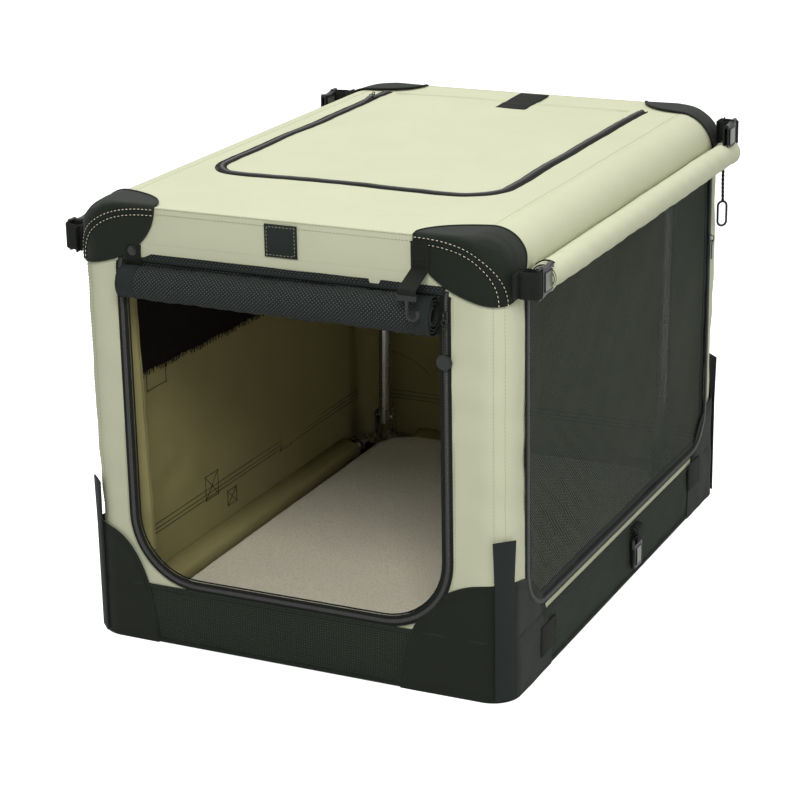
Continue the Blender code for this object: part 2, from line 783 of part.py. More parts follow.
def ellipsoid(name, centre, radii):
    bm = bmesh.new()
    bmesh.ops.create_uvsphere(bm, u_segments=ROUND_SIDES * 2, v_segments=ROUND_SIDES, radius=1)
    bmesh.ops.scale(bm, vec=radii, verts=bm.verts)
    bmesh.ops.translate(bm, vec=centre, verts=bm.verts)
    data = bpy.data.meshes.new(name)
    bm.to_mesh(data)
    bm.free()
    return add(name, data)


def make_corner_cloth():
    cap_low = HEIGHT - CAP_REACH_Z - OVERRUN
    cap_in = cover_block("cap inside", SEAT_GAP, cap_low - OVERRUN)
    patch_top = PATCH_REACH_Z + OVERRUN
    for end, end_name in ((-1, "front"), (1, "rear")):
        for side, side_name in ((-1, "left"), (1, "right")):
            place = f"{end_name}_{side_name}"
            x, y = side * HALF_W, end * HALF_L
            cap = cover_block(f"top cap {place}", CAP_OUT, cap_low)
            boolean(cap, cap_in, "DIFFERENCE")
            reach = (CAP_REACH_X, CAP_REACH_Y, CAP_REACH_Z)
            boolean(cap, ellipsoid(f"cap shape {place}", (x, y, HEIGHT), reach), "INTERSECT")
            union_of(f"top_cap_{place}", [cap], "dark_cloth")
            patch = upright_ring(f"patch {place}", CAP_OUT, SEAT_GAP, patch_top)
            reach = (PATCH_REACH_X, PATCH_REACH_Y, PATCH_REACH_Z)
            boolean(patch, ellipsoid(f"patch shape {place}", (x, y, 0), reach), "INTERSECT")
            inner_out = CAP_OUT - PATCH_CLOTH / 2
            sleeve = upright_ring(
                f"sleeve {place}", CAP_OUT + SLEEVE_THICK, inner_out, SLEEVE_HEIGHT
            )
            boolean(sleeve, corner_slab(place, side, end), "INTERSECT")
            union_of(f"corner_patch_{place}", [patch, sleeve], "dark_cloth")


def corner_slab(place, side, end):
    """An upright slab through a corner, square to its diagonal, that keeps one sleeve's width."""
    centre_x, centre_y = side * (HALF_W - CORNER_R), end * (HALF_L - CORNER_R)
    reach = CORNER_R + OVERRUN
    half = SLEEVE_WIDTH / 2
    flat = [(0, -half), (reach, -half), (reach, half), (0, half)]
    turn = math.atan2(end, side)
    outline = [
        (
            centre_x + u * math.cos(turn) - v * math.sin(turn),
            centre_y + u * math.sin(turn) + v * math.cos(turn),
        )
        for u, v in flat
    ]
    low, high = -OVERRUN, SLEEVE_HEIGHT + OVERRUN
    return as_mesh(prism(f"sleeve width {place}", [outline], low, high))


# Rolled door and rolled cover


def make_rolls():
    middle_y = -HALF_L - FRONT_ROLL_Y
    z = DOOR_HIGH - FRONT_ROLL_BELOW_BAND
    left = DOOR_LEFT + ZIP_WIDTH / 2 + SEAT_GAP * 2
    right = DOOR_RIGHT - DISC_R - SEAT_GAP * 2
    roll = rod(
        "front roll body",
        (left, middle_y, z),
        (right, middle_y, z),
        FRONT_ROLL_END_R,
        "mesh_cloth",
        end_r=ROLL_END_R,
        radius_end=FRONT_ROLL_R,
    )
    web = box(
        "front roll web",
        (left + ROLL_END_R, -HALF_L, z + FRONT_ROLL_END_R - WEB_OVERLAP),
        (right - ROLL_END_R, -HALF_L + FRONT_WEB_THICK, DOOR_HIGH - SEAT_GAP),
    )
    union_of("front_door_roll", [roll, web], "mesh_cloth")
    roll = rod(
        "side roll body",
        (SIDE_ROLL_X, SIDE_ROLL_FRONT, SIDE_ROLL_Z),
        (SIDE_ROLL_X, SIDE_ROLL_REAR, SIDE_ROLL_Z),
        SIDE_ROLL_R,
        "canvas",
        end_r=ROLL_END_R,
    )
    sewn_x = HALF_W + SEAT_GAP + SIDE_WEB_THICK / 2
    sewn_z = LID_LOW - SEAT_GAP
    path = [(sewn_x, sewn_z), (sewn_x, sewn_z - SIDE_WEB_DROP)]
    path.append((SIDE_ROLL_X - SIDE_ROLL_R / 2, SIDE_ROLL_Z + SIDE_ROLL_R / 2))
    outline = thick_line(path, SIDE_WEB_THICK)
    ends = (SIDE_ROLL_FRONT + ROLL_END_R, HALF_L - SIDE_WEB_INSET_REAR)
    web = as_mesh(prism("side roll web", [outline], *ends, plane="XZ"))
    union_of("side_cover_roll", [roll, web], "canvas")


# Webbing loops, buckles and hooks


def loop_outlines(start, end, width):
    """A webbing loop seen on edge: its outer and inner outline."""
    return [
        capsule(start, end, width / 2),
        capsule(start, end, width / 2 - WEBBING),
    ]


def buckle(name, bar, along, across, finish):
    """The receiving half of a side-release buckle; along points from its bar to its mouth."""
    along, across = Vector(along), Vector(across)
    out = along.cross(across)
    bar = Vector(bar)
    turn = Matrix((along, across, out)).transposed().to_4x4()
    half_w, half_t = BUCKLE_WIDTH / 2, BUCKLE_THICK / 2
    back = BUCKLE_BAR / 2
    body = box(
        f"{name} body",
        (-back, -half_w, -half_t),
        (BUCKLE_LENGTH - back, half_w, half_t),
        finish,
        edge_r=BUCKLE_EDGE_R,
    )
    slot_half = WEBBING_WIDTH / 2 + BUCKLE_SLOT_SPARE
    slot = box(
        f"{name} slot",
        (back, -slot_half, -half_t - OVERRUN),
        (back + BUCKLE_SLOT, slot_half, half_t + OVERRUN),
    )
    mouth_end = BUCKLE_LENGTH - back + OVERRUN
    mouth = box(
        f"{name} mouth",
        (mouth_end - OVERRUN - BUCKLE_MOUTH_DEPTH, -BUCKLE_MOUTH_WIDTH / 2, -BUCKLE_MOUTH_HEIGHT / 2),
        (mouth_end, BUCKLE_MOUTH_WIDTH / 2, BUCKLE_MOUTH_HEIGHT / 2),
    )
    for piece in (body, slot, mouth):
        piece.matrix_world = Matrix.Translation(bar) @ turn
    boolean(body, slot, "DIFFERENCE")
    boolean(body, mouth, "DIFFERENCE")
    body.name = name
    return body


def make_corner_straps():
    root_x = HALF_W + CAP_OUT + SEAT_GAP + LOOP_WIDTH / 2
    tip_x = HALF_W + CAP_OUT + SEAT_GAP + LOOP_REACH - LOOP_WIDTH / 2
    for end, end_name, below in (
        (-1, "front", FRONT_LOOP_BELOW_TOP),
        (1, "rear", REAR_LOOP_BELOW_TOP),
    ):
        z = HEIGHT - below
        low, high = z - WEBBING_WIDTH / 2, z + WEBBING_WIDTH / 2
        for side, side_name in ((-1, "left"), (1, "right")):
            place = f"{end_name}_{side_name}"
            y = end * LOOP_Y
            loops = loop_outlines((side * root_x, y), (side * tip_x, y), LOOP_WIDTH)
            prism(f"corner_strap_{place}", loops, low, high, "webbing")
            bar = (side * tip_x, y, z)
            half = buckle(
                f"corner_buckle_{place}", bar, (0, -end, 0), (0, 0, 1), "black_plastic"
            )
            hang_on(f"corner_buckle_{place} bar", bar, [half])


def make_low_buckle():
    x = HALF_W + SEAT_GAP + LOOP_WIDTH / 2
    loop_top = BAND_HEIGHT - LOW_LOOP_BELOW_BAND
    top = (x, loop_top - LOOP_WIDTH / 2)
    tip = (x, loop_top - LOW_LOOP_DROP + LOOP_WIDTH / 2)
    low, high = LOW_LOOP_Y - WEBBING_WIDTH / 2, LOW_LOOP_Y + WEBBING_WIDTH / 2
    prism("low_buckle_strap", loop_outlines(top, tip, LOOP_WIDTH), low, high, "webbing", "XZ")
    bar = (x, LOW_LOOP_Y, tip[1])
    half = buckle("low_side_buckle", bar, (0, 0, -1), (0, 1, 0), "black_plastic")
    hang_on("low_side_buckle bar", bar, [half])


def make_keeper():
    flat_y = -HALF_L - CAP_OUT - SEAT_GAP - WEBBING / 2
    end_y = -HALF_L - KEEPER_END_OUT
    end_z = HEIGHT - KEEPER_END_BELOW_TOP
    path = [(flat_y, HEIGHT - KEEPER_BELOW_TOP), (flat_y, HEIGHT - KEEPER_BEND_BELOW_TOP)]
    path += [(end_y, end_z + WEBBING_WIDTH / 5), (end_y, end_z)]
    half = WEBBING_WIDTH / 2
    prism(
        "keeper_strap",
        [thick_line(path, WEBBING)],
        KEEPER_X - half,
        KEEPER_X + half,
        "webbing",
        "YZ",
    )
    eye_top = end_z - SEAT_GAP
    eye_low = eye_top - HOOK_EYE_HEIGHT
    eye = box(
        "hook eye",
        (KEEPER_X - half, end_y - HOOK_EYE_THICK / 2, eye_low),
        (KEEPER_X + half, end_y + HOOK_EYE_THICK / 2, eye_top),
        "black_plastic",
        edge_r=HOOK_EYE_THICK / 5,
    )
    bow_z = eye_low - HOOK_SHANK
    points = [(KEEPER_X, end_y, eye_low + HOOK_EYE_HEIGHT / 2)]
    points += [
        (x, end_y, z)
        for x, z in arc(KEEPER_X + HOOK_BOW_R, bow_z, HOOK_BOW_R, 180, 180 + HOOK_BOW_TURN_DEG, 12)
    ]
    bow = as_mesh(tube("hook bow", points, HOOK_WIRE_R, fineness=2))
    hook = union_of("keeper_snap_hook", [eye, bow], "black_plastic")
    hang_on("keeper_snap_hook swivel", (KEEPER_X, end_y, eye_top), [hook])


# Zip sliders and pulls


def make_slider(name, face, along, out, with_bridge=True):
    """A zip slider that stands on a zip at face; along is the zip's run, out points off the cloth."""
    face, along, out = Vector(face), Vector(along), Vector(out)
    across = out.cross(along)
    turn = Matrix((across, along, out)).transposed().to_4x4()
    low = SEAT_GAP
    half_w, half_l = SLIDER_WIDTH / 2, SLIDER_LENGTH / 2
    body = box(
        f"{name} body",
        (-half_w, -half_l, low),
        (half_w, half_l, low + SLIDER_THICK),
        "black_metal",
        edge_r=SLIDER_EDGE_R,
    )
    body.matrix_world = Matrix.Translation(face) @ turn
    deck = low + SLIDER_THICK - SLIDER_EDGE_R
    flat = [
        (0, -BRIDGE_HALF, deck),
        (0, -BRIDGE_HALF, deck + BRIDGE_REACH - BRIDGE_WIRE_R),
        (0, -BRIDGE_HALF / 2, deck + BRIDGE_REACH),
        (0, BRIDGE_HALF / 2, deck + BRIDGE_REACH),
        (0, BRIDGE_HALF, deck + BRIDGE_REACH - BRIDGE_WIRE_R),
        (0, BRIDGE_HALF, deck),
    ]
    place = Matrix.Translation(face) @ turn
    bridge = as_mesh(
        tube(f"{name} bridge", [place @ Vector(p) for p in flat], BRIDGE_WIRE_R, fineness=2)
    )
    boolean(body, bridge, "UNION")
    body.name = name
    return body


def bridge_height():
    """How far off the cloth the pull's ring threads the slider's bridge."""
    return SEAT_GAP + SLIDER_THICK - SLIDER_EDGE_R + BRIDGE_REACH - BRIDGE_WIRE_R * 2 - PULL_WIRE_R


def make_front_slider():
    x = DOOR_RIGHT
    face_y = -HALF_L + CANVAS / 2 - ZIP_THICK / 2
    slider = make_slider("front_zip_slider", (x, face_y, FRONT_SLIDER_Z), (0, 0, 1), (0, -1, 0))
    hang_on("front_zip_slider run", (x, face_y, FRONT_SLIDER_Z), [slider])
    pin_y = face_y - bridge_height()
    low_end = FRONT_SLIDER_Z - BRIDGE_HALF + BRIDGE_WIRE_R + PULL_WIRE_R + SEAT_GAP
    ring_z = low_end - PULL_RING_R
    ring_y = pin_y
    loop = ring("front pull ring", (x, ring_y, ring_z), PULL_RING_R, PULL_WIRE_R, (0, 1, 0))
    cord_top = ring_z - PULL_RING_R
    cord_low = cord_top - CORD_DROP
    cord = rod("front pull cord", (x, ring_y, cord_top), (x, ring_y, cord_low), CORD_PAIR_R, sides=10)
    disc_z = cord_low - DISC_R + CORD_PAIR_R
    half = DISC_THICK / 2
    disc = rod(
        "front pull disc",
        (x, ring_y + half, disc_z),
        (x, ring_y - half, disc_z),
        DISC_R,
        "black_plastic",
        end_r=DISC_THICK / 4,
    )
    pull = union_of("front_zip_pull", [disc, cord, as_mesh(loop)], "black_plastic")
    hang_on("front_zip_pull pin", (x, pin_y, low_end), [pull])


def make_side_slider():
    face_x = HALF_W - CANVAS / 2 + ZIP_THICK / 2
    y = SIDE_HALF_Y
    slider = make_slider("side_zip_slider", (face_x, y, SIDE_SLIDER_Z), (0, 0, 1), (1, 0, 0))
    hang_on("side_zip_slider run", (face_x, y, SIDE_SLIDER_Z), [slider])
    pin_x = face_x + bridge_height()
    low_end = SIDE_SLIDER_Z - BRIDGE_HALF + BRIDGE_WIRE_R + PULL_WIRE_R + SEAT_GAP
    ring_z = low_end - PULL_RING_R
    loop = ring("side pull ring", (pin_x, y, ring_z), PULL_RING_R, PULL_WIRE_R, (1, 0, 0))
    top = ring_z - PULL_RING_R + PULL_WIRE_R
    tab = box(
        "side pull tab",
        (pin_x - TAB_THICK / 2, y - TAB_WIDTH / 2, top - TAB_LENGTH),
        (pin_x + TAB_THICK / 2, y + TAB_WIDTH / 2, top),
        "black_metal",
        edge_r=TAB_THICK / 4,
    )
    pull = union_of("side_zip_pull", [tab, as_mesh(loop)], "black_metal")
    hang_on("side_zip_pull pin", (pin_x, y, low_end), [pull])


def make_hatch_slider():
    face_z = HEIGHT - CANVAS / 2 + ZIP_THICK / 2
    place = (HATCH_LEFT, HATCH_SLIDER_Y, face_z)
    slider = make_slider("hatch_zip_slider", place, (0, 1, 0), (0, 0, 1))
    hang_on("hatch_zip_slider run", place, [slider])
    pin_z = face_z + bridge_height()
    front_end = HATCH_SLIDER_Y - BRIDGE_HALF + BRIDGE_WIRE_R + PULL_WIRE_R + SEAT_GAP
    ring_y = front_end - PULL_RING_R
    loop = ring("hatch pull ring", (HATCH_LEFT, ring_y, pin_z), PULL_RING_R, PULL_WIRE_R, (0, 0, 1))
    start = ring_y - PULL_RING_R + PULL_WIRE_R
    tab = box(
        "hatch pull tab",
        (HATCH_LEFT - TAB_WIDTH / 2, start - TAB_LENGTH, pin_z - TAB_THICK / 2),
        (HATCH_LEFT + TAB_WIDTH / 2, start, pin_z + TAB_THICK / 2),
        "black_metal",
        edge_r=TAB_THICK / 4,
    )
    loop = as_mesh(loop)
    reach = front_end - start + TAB_LENGTH
    drop = bridge_height() - TAB_THICK / 2 - SEAT_GAP * 2
    pin = Matrix.Translation((HATCH_LEFT, front_end, pin_z))
    lean = pin @ Matrix.Rotation(math.asin(drop / reach), 4, "X") @ pin.inverted()
    for piece in (tab, loop):
        piece.matrix_world = lean @ piece.matrix_world
    pull = union_of("hatch_zip_pull", [tab, loop], "black_metal")
    hang_on("hatch_zip_pull pin", (HATCH_LEFT, front_end, pin_z), [pull])


def make_side_hook():
    """An oval wire hook on a short cord, hung from under the rear end of the side roll."""
    x = SIDE_ROLL_X - SIDE_HOOK_INWARD
    y = SIDE_ROLL_REAR - SIDE_HOOK_FROM_END
    touch = SIDE_ROLL_R + SEAT_GAP + SIDE_CORD_R
    hanger_z = SIDE_ROLL_Z - math.sqrt(touch**2 - SIDE_HOOK_INWARD**2)
    radius = SIDE_HOOK_WIDTH / 2
    top = hanger_z - SIDE_CORD_DROP
    oval = capsule((y, top - radius), (y, top - SIDE_HOOK_LENGTH + radius), radius)
    points = [(x, v, z) for v, z in oval]
    hook = as_mesh(tube("side hook oval", points, SIDE_HOOK_WIRE_R, closed=True, fineness=2))
    cord_ends = ((x, y, top), (x, y, hanger_z))
    cord = rod("side hook cord", *cord_ends, SIDE_CORD_R, sides=10)
    knot = ellipsoid("side hook knot", (x, y, hanger_z), (SIDE_CORD_R, SIDE_CORD_R, SIDE_CORD_R))
    whole = union_of("side_hook", [hook, cord, knot], "black_plastic")
    hang_on("side_hook hanger", (x, y, hanger_z), [whole])


clear_scene()
CRATE = collection("Soft folding dog crate")
CUTTERS = collection("Cutters")
make_frame()
make_floor()
make_front()
make_rear()
make_right_side()
make_left_side()
make_top()
make_corner_cloth()
make_rolls()
make_corner_straps()
make_low_buckle()
make_keeper()
make_front_slider()
make_side_slider()
make_hatch_slider()
make_side_hook()
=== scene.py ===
"""Soft folding dog crate: the looks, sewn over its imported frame.

Metres, +Z up. Blender runs it as a script. register() lists its pieces in a sidebar panel.
"""

import math

import bmesh
import bpy
import numpy as np
from bpy.props import FloatProperty, FloatVectorProperty, PointerProperty
from mathutils import Matrix, Vector


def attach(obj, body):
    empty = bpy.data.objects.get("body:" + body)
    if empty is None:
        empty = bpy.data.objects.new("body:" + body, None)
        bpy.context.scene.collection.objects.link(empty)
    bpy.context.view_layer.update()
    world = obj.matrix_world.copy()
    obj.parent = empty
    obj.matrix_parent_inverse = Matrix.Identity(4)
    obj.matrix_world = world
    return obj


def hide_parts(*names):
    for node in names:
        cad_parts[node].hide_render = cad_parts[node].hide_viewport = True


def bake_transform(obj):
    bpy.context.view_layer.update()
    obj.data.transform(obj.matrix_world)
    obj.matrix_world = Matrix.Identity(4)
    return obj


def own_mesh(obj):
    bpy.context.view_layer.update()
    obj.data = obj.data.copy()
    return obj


bl_info = {
    "name": "Soft folding dog crate",
    "version": (1, 0, 0),
    "blender": (4, 5, 0),
    "location": "View3D > Sidebar > Crate",
    "description": "Sews the crate's cloth, zips, webbing and mat over its steel frame",
    "category": "Object",
}

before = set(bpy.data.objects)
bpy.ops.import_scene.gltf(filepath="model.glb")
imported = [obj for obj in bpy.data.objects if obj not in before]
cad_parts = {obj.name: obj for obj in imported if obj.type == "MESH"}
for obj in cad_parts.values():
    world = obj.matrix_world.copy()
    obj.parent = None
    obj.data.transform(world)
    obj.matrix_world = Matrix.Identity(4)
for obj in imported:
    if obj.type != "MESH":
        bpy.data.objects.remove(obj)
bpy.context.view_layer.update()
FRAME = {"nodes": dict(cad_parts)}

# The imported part's sizes, in metres. They follow the solids, so the sidebar doesn't change them.
HALF_W, HALF_L, HIGH = 0.295, 0.410, 0.590
CORNER_R, SHOULDER_R = 0.035, 0.045
END_R, END_REACH = 0.075, 0.045  # the shoulders grow to END_R over the last END_REACH
BAND, LID_LOW = 0.080, 0.543  # heights of the lower band's top and of the lid's lower edge

# The walk round the cover, from the middle of the front to the right
SPAN_X, SPAN_Y = HALF_W - CORNER_R, HALF_L - CORNER_R
TURN = math.pi / 2 * CORNER_R
AROUND = 4 * (SPAN_X + SPAN_Y + TURN)
FRONT_END = SPAN_X + TURN
SIDE_MID = FRONT_END + SPAN_Y
REAR_MID = AROUND / 2
LEFT_MID = AROUND - SIDE_MID

# Openings as left, low, right, high and the radius of their two lower corners
DOOR = (-0.229, 0.088, 0.217, 0.524, 0.090)
SIDE_DOOR = (-0.350, 0.098, 0.350, 0.512, 0.060)
WINDOW_COVER = (-0.28, 0.302, 0.28, 0.575, 0.03)
HATCH = (-0.216, -0.205, 0.190, 0.352, 0.050)

# Axes of the two rolls, the keeper that holds the front one, and the front hoop's leg
ROLL_Y, ROLL_Z = -0.4185, 0.4955
SIDE_ROLL_X, SIDE_ROLL_Z = 0.3150, 0.5335
KEEPER_X = 0.186
LEG_X, LEG_Y, LEG_Z = 0.252, -0.345, 0.070
LEG_LEAN = -0.0435  # how far the leg leans to the front for each metre up
MAT_RADIUS, MAT_LOW = 0.060, 0.0065

# Corners as (end, side), each -1 or 1: front or rear, and left or right
CORNERS = tuple((end, side) for end in (-1, 1) for side in (-1, 1))
PLACES = {
    (-1, -1): "front_left",
    (-1, 1): "front_right",
    (1, -1): "rear_left",
    (1, 1): "rear_right",
}
# How far each corner patch reaches before and after its corner
PATCH_REACH = {
    (-1, 1): (0.1375, 0.1305),
    (1, 1): (0.1305, 0.1375),
    (1, -1): (0.1375, 0.1305),
    (-1, -1): (0.1305, 0.0850),
}

# Cloth and thread
CELL = 0.006  # mesh size of the cut cloth
SNAP = 0.0042  # half a cell's diagonal: points this near a cut edge are pulled onto it
TWO_PLY = 0.0018  # canvas and lining together
ONE_PLY = 0.0008  # lining alone
FINE_THREAD, STRONG_THREAD = 0.0003, 0.00038  # radius
ZIP_STEP = 0.003  # points on a zip's path
WEBBING_THICK = 0.0014
TAPE_THICK, COIL_R, COIL_STEP = 0.0007, 0.0027, 0.0008  # zip tape, its coil, and the coil's step
NORMAL_SHARE = 1e-4  # normals are carried beside the points, too small to change their spacing

# Camera, solved from the photograph's corners
CAMERA_AT = (1.311, -2.847, 1.295)
CAMERA_YAW, CAMERA_PITCH, CAMERA_ROLL = 25.378, 18.706, -1.025
CAMERA_LENS = 106.18


# What a user may change


def linear(code):
    """An sRGB hex colour as linear red, green, blue, alpha."""
    parts = [int(code[i : i + 2], 16) / 255 for i in (0, 2, 4)]
    return (*(c / 12.92 if c <= 0.04045 else ((c + 0.055) / 1.055) ** 2.4 for c in parts), 1.0)


def length(name, description, metres):
    """A size that a user may change."""
    return FloatProperty(
        name=name, description=description, default=metres, min=0.0001, precision=4, unit="LENGTH"
    )


def colour(name, description, code):
    """A colour that a user may change."""
    return FloatVectorProperty(
        name=name,
        description=description,
        default=linear(code),
        size=4,
        min=0,
        max=1,
        subtype="COLOR",
    )


class CRATE_PG_sizes(bpy.types.PropertyGroup):
    """Sizes of the soft goods."""

    front_roll: length("Front roll radius", "Radius of the rolled front door", 0.0255)
    side_roll: length("Side roll radius", "Radius of the rolled side cover", 0.0184)
    mat_width: length("Mat width", "The fleece mat's width", 0.480)
    mat_length: length("Mat length", "The fleece mat's length", 0.764)
    mat_thick: length("Mat thickness", "The fleece mat's thickness", 0.0285)
    patch_height: length("Corner patch height", "Height of the dark corner patches", 0.156)
    slack: length("Wall slack", "How far the wall cloth bellies out of true", 0.0024)
    webbing: length("Webbing width", "Width of the straps", 0.025)
    corner_webbing: length("Corner webbing width", "Width of the corner loops", 0.033)
    keeper: length("Keeper width", "Width of the front roll's right keeper", 0.0235)
    door_zip: length("Door zip width", "Width of the doors' zip tape", 0.014)
    stitch_pitch: length("Stitch pitch", "From one stitch to the next", 0.0048)
    stitch: length("Stitch length", "Length of the thread that shows", 0.0030)


class CRATE_PG_colours(bpy.types.PropertyGroup):
    """Colours of the cloths, threads and fittings."""

    canvas: colour("Canvas", "Walls, lid and rolled side cover", "BABCA1")
    canvas_shade: colour("Canvas, darker", "Darker patches of the canvas", "B3B599")
    lining: colour("Lining", "Inner face of the walls and the lid", "9A9264")
    lining_shade: colour("Lining, darker", "Darker patches of the lining", "90885C")
    band: colour("Lower band", "Ground of the lower band", "22271F")
    band_shade: colour("Lower band, darker", "Darker patches of the lower band", "1B2019")
    band_dots: colour("Lower band's dots", "Raised threads of the lower band", "3E453A")
    patch: colour("Caps and patches", "Corner caps and corner patches", "1A1F18")
    patch_shade: colour("Caps and patches, darker", "Darker places of the caps", "161A13")
    binding: colour("Binding", "Tape round hems and rolls", "242927")
    binding_shade: colour("Binding, darker", "Darker places of the tape", "1F2321")
    webbing: colour("Webbing", "Straps and loops", "1C1E1A")
    webbing_shade: colour("Webbing, darker", "Darker places of the webbing", "141612")
    zip_tape: colour("Zip tape", "Tape beside the coils", "1A1D19")
    zip_tape_shade: colour("Zip tape, darker", "Darker places of the zip tape", "141613")
    roll: colour("Rolled mesh", "The rolled front door", "222624")
    roll_shade: colour("Rolled mesh, darker", "Darker places of the roll", "181B1A")
    # The knots' paler colour is a painted highlight.
    roll_knot_highlight: colour("Rolled mesh's knots", "Knots that catch the light", "515853")
    mesh: colour("Side mesh", "The mesh door in the right wall", "242A23")
    # Near black: a dark mesh, with painted shade of the crate's inside.
    window: colour("Window mesh", "The left window, seen from inside", "16110E")
    window_shade: colour("Window mesh, darker", "Darker places of the window", "100C0A")
    fleece: colour("Fleece", "Tips of the mat's pile", "FAF3DA")
    # Painted shade: the darker colour of the pile's hollows.
    fleece_hollow_shade: colour("Fleece, darker", "Depth of the mat's pile", "B2A783")
    cap_thread: colour("Cap thread", "Stitches on the corner caps", "CFC9AE")
    seam_thread: colour("Seam thread", "Stitches on the canvas", "9B9B78")
    lining_thread: colour("Lining thread", "Stitches on the lining", "1E1C12")
    black_thread: colour("Black thread", "Stitches on webbing and patches", "15170F")
    coil: colour("Zip coil", "The zips' teeth", "262725")
    plastic: colour("Plastic", "Buckles, hooks and clips", "141615")
    # Painted reflection: the flat faces' grey stands for the sky that they mirror.
    plastic_face_painted_sky: colour("Plastic's satin face", "Flat faces of the buckles", "5E6258")


def size(name):
    """A size from the sidebar, without the noise of its single precision."""
    return round(getattr(bpy.context.scene.crate_sizes, name), 6)


# Materials


FINISH = {}


def add(tree, kind, inputs, **settings):
    """Adds a node with its settings and its inputs, each a value or the socket that feeds it."""
    made = tree.nodes.new(kind)
    for name, value in settings.items():
        setattr(made, name, value)
    for name, value in inputs.items():
        if isinstance(value, bpy.types.NodeSocket):
            tree.links.new(value, made.inputs[name])
        else:
            made.inputs[name].default_value = value
    return made


def surface(name, shade):
    """A material whose surface is one Principled shader; shade gives its inputs from the tree."""
    material = bpy.data.materials.new(name)
    material.use_nodes = True
    tree = material.node_tree
    tree.nodes.clear()
    body = add(tree, "ShaderNodeBsdfPrincipled", shade(tree))
    add(tree, "ShaderNodeOutputMaterial", {"Surface": body.outputs[0]})
    return material


def weave(tree, pitch, turn):
    """Two crossing waves, pitch metres long, and where they cross: 1 on a thread, 0 in a gap."""
    where = add(tree, "ShaderNodeTexCoord", {}).outputs["UV"]
    flat = add(tree, "ShaderNodeMapping", {"Vector": where, "Rotation": (0, 0, math.radians(turn))})
    split = add(tree, "ShaderNodeSeparateXYZ", {"Vector": flat.outputs[0]})
    waves = []
    for axis in (0, 1):
        angle = {0: split.outputs[axis], 1: math.tau / pitch}
        angle = add(tree, "ShaderNodeMath", angle, operation="MULTIPLY")
        wave = add(tree, "ShaderNodeMath", {0: angle.outputs[0]}, operation="SINE")
        raised = {0: wave.outputs[0], 1: 0.5, 2: 0.5}
        waves.append(add(tree, "ShaderNodeMath", raised, operation="MULTIPLY_ADD").outputs[0])
    return add(tree, "ShaderNodeMath", {0: waves[0], 1: waves[1]}, operation="MULTIPLY").outputs[0]


def woven(name, light, dark, pitch, turn=0.0, bump=0.3, dots=None, dot_at=0.6, sheen=0.0):
    """Cloth of crossing threads; dots is the colour of the raised crossings, painted highlights on
    the roll.
    """

    def shade(tree):
        crossing = weave(tree, pitch, turn)
        where = add(tree, "ShaderNodeTexCoord", {}).outputs["Object"]
        dye = add(tree, "ShaderNodeTexNoise", {"Vector": where, "Scale": 14.0, "Detail": 3.0})
        tone = {0: dye.outputs[0], 6: dark, 7: light}
        tone = add(tree, "ShaderNodeMix", tone, data_type="RGBA").outputs[2]
        if dots is not None:
            raised = add(tree, "ShaderNodeMath", {0: crossing, 1: dot_at}, operation="GREATER_THAN")
            tone = {0: raised.outputs[0], 6: tone, 7: dots}
            tone = add(tree, "ShaderNodeMix", tone, data_type="RGBA").outputs[2]
        fuzz = add(tree, "ShaderNodeTexNoise", {"Vector": where, "Scale": 900.0, "Detail": 2.0})
        fuzz = add(tree, "ShaderNodeMath", {0: fuzz.outputs[0], 1: 0.5}, operation="MULTIPLY")
        height = add(tree, "ShaderNodeMath", {0: crossing, 1: fuzz.outputs[0]}, operation="ADD")
        relief = {"Strength": bump, "Distance": pitch / 2, "Height": height.outputs[0]}
        return {
            "Base Color": tone,
            "Roughness": 0.85,
            "Specular IOR Level": 0.15,
            "Sheen Weight": sheen,
            "Normal": add(tree, "ShaderNodeBump", relief).outputs[0],
        }

    return surface(name, shade)


def see_through(name, tone, pitch, open_share, turn):
    """Knitted mesh: its holes let the light through."""

    def shade(tree):
        crossing = weave(tree, pitch, turn)
        hole = {0: crossing, 1: open_share}
        hole = add(tree, "ShaderNodeMath", hole, operation="GREATER_THAN").outputs[0]
        yarn = add(tree, "ShaderNodeMath", {0: 1.0, 1: hole}, operation="SUBTRACT").outputs[0]
        relief = {"Strength": 0.4, "Distance": pitch / 3, "Height": crossing}
        return {
            "Base Color": tone,
            "Roughness": 0.8,
            "Specular IOR Level": 0.15,
            "Alpha": yarn,
            "Normal": add(tree, "ShaderNodeBump", relief).outputs[0],
        }

    return surface(name, shade)


def fleece(name, light, dark):
    """Brushed pile: fine tufts in loose clumps, with painted shade in the hollows between tufts."""

    def shade(tree):
        where = add(tree, "ShaderNodeTexCoord", {}).outputs["Object"]
        tufts = {"Vector": where, "Scale": 330.0, "Detail": 6.0}
        tufts = add(tree, "ShaderNodeTexNoise", tufts).outputs[0]
        clumps = {"Vector": where, "Scale": 70.0, "Detail": 3.0}
        clumps = add(tree, "ShaderNodeTexNoise", clumps).outputs[0]
        pile = add(tree, "ShaderNodeMath", {0: tufts, 1: clumps}, operation="ADD").outputs[0]
        # The low places of the pile take the darker colour: painted shade in its hollows.
        tone = add(tree, "ShaderNodeMix", {0: tufts, 6: dark, 7: light}, data_type="RGBA")
        relief = {"Strength": 0.9, "Distance": 0.003, "Height": pile}
        return {
            "Base Color": tone.outputs[2],
            "Roughness": 0.95,
            "Sheen Weight": 0.4,
            "Normal": add(tree, "ShaderNodeBump", relief).outputs[0],
        }

    return surface(name, shade)


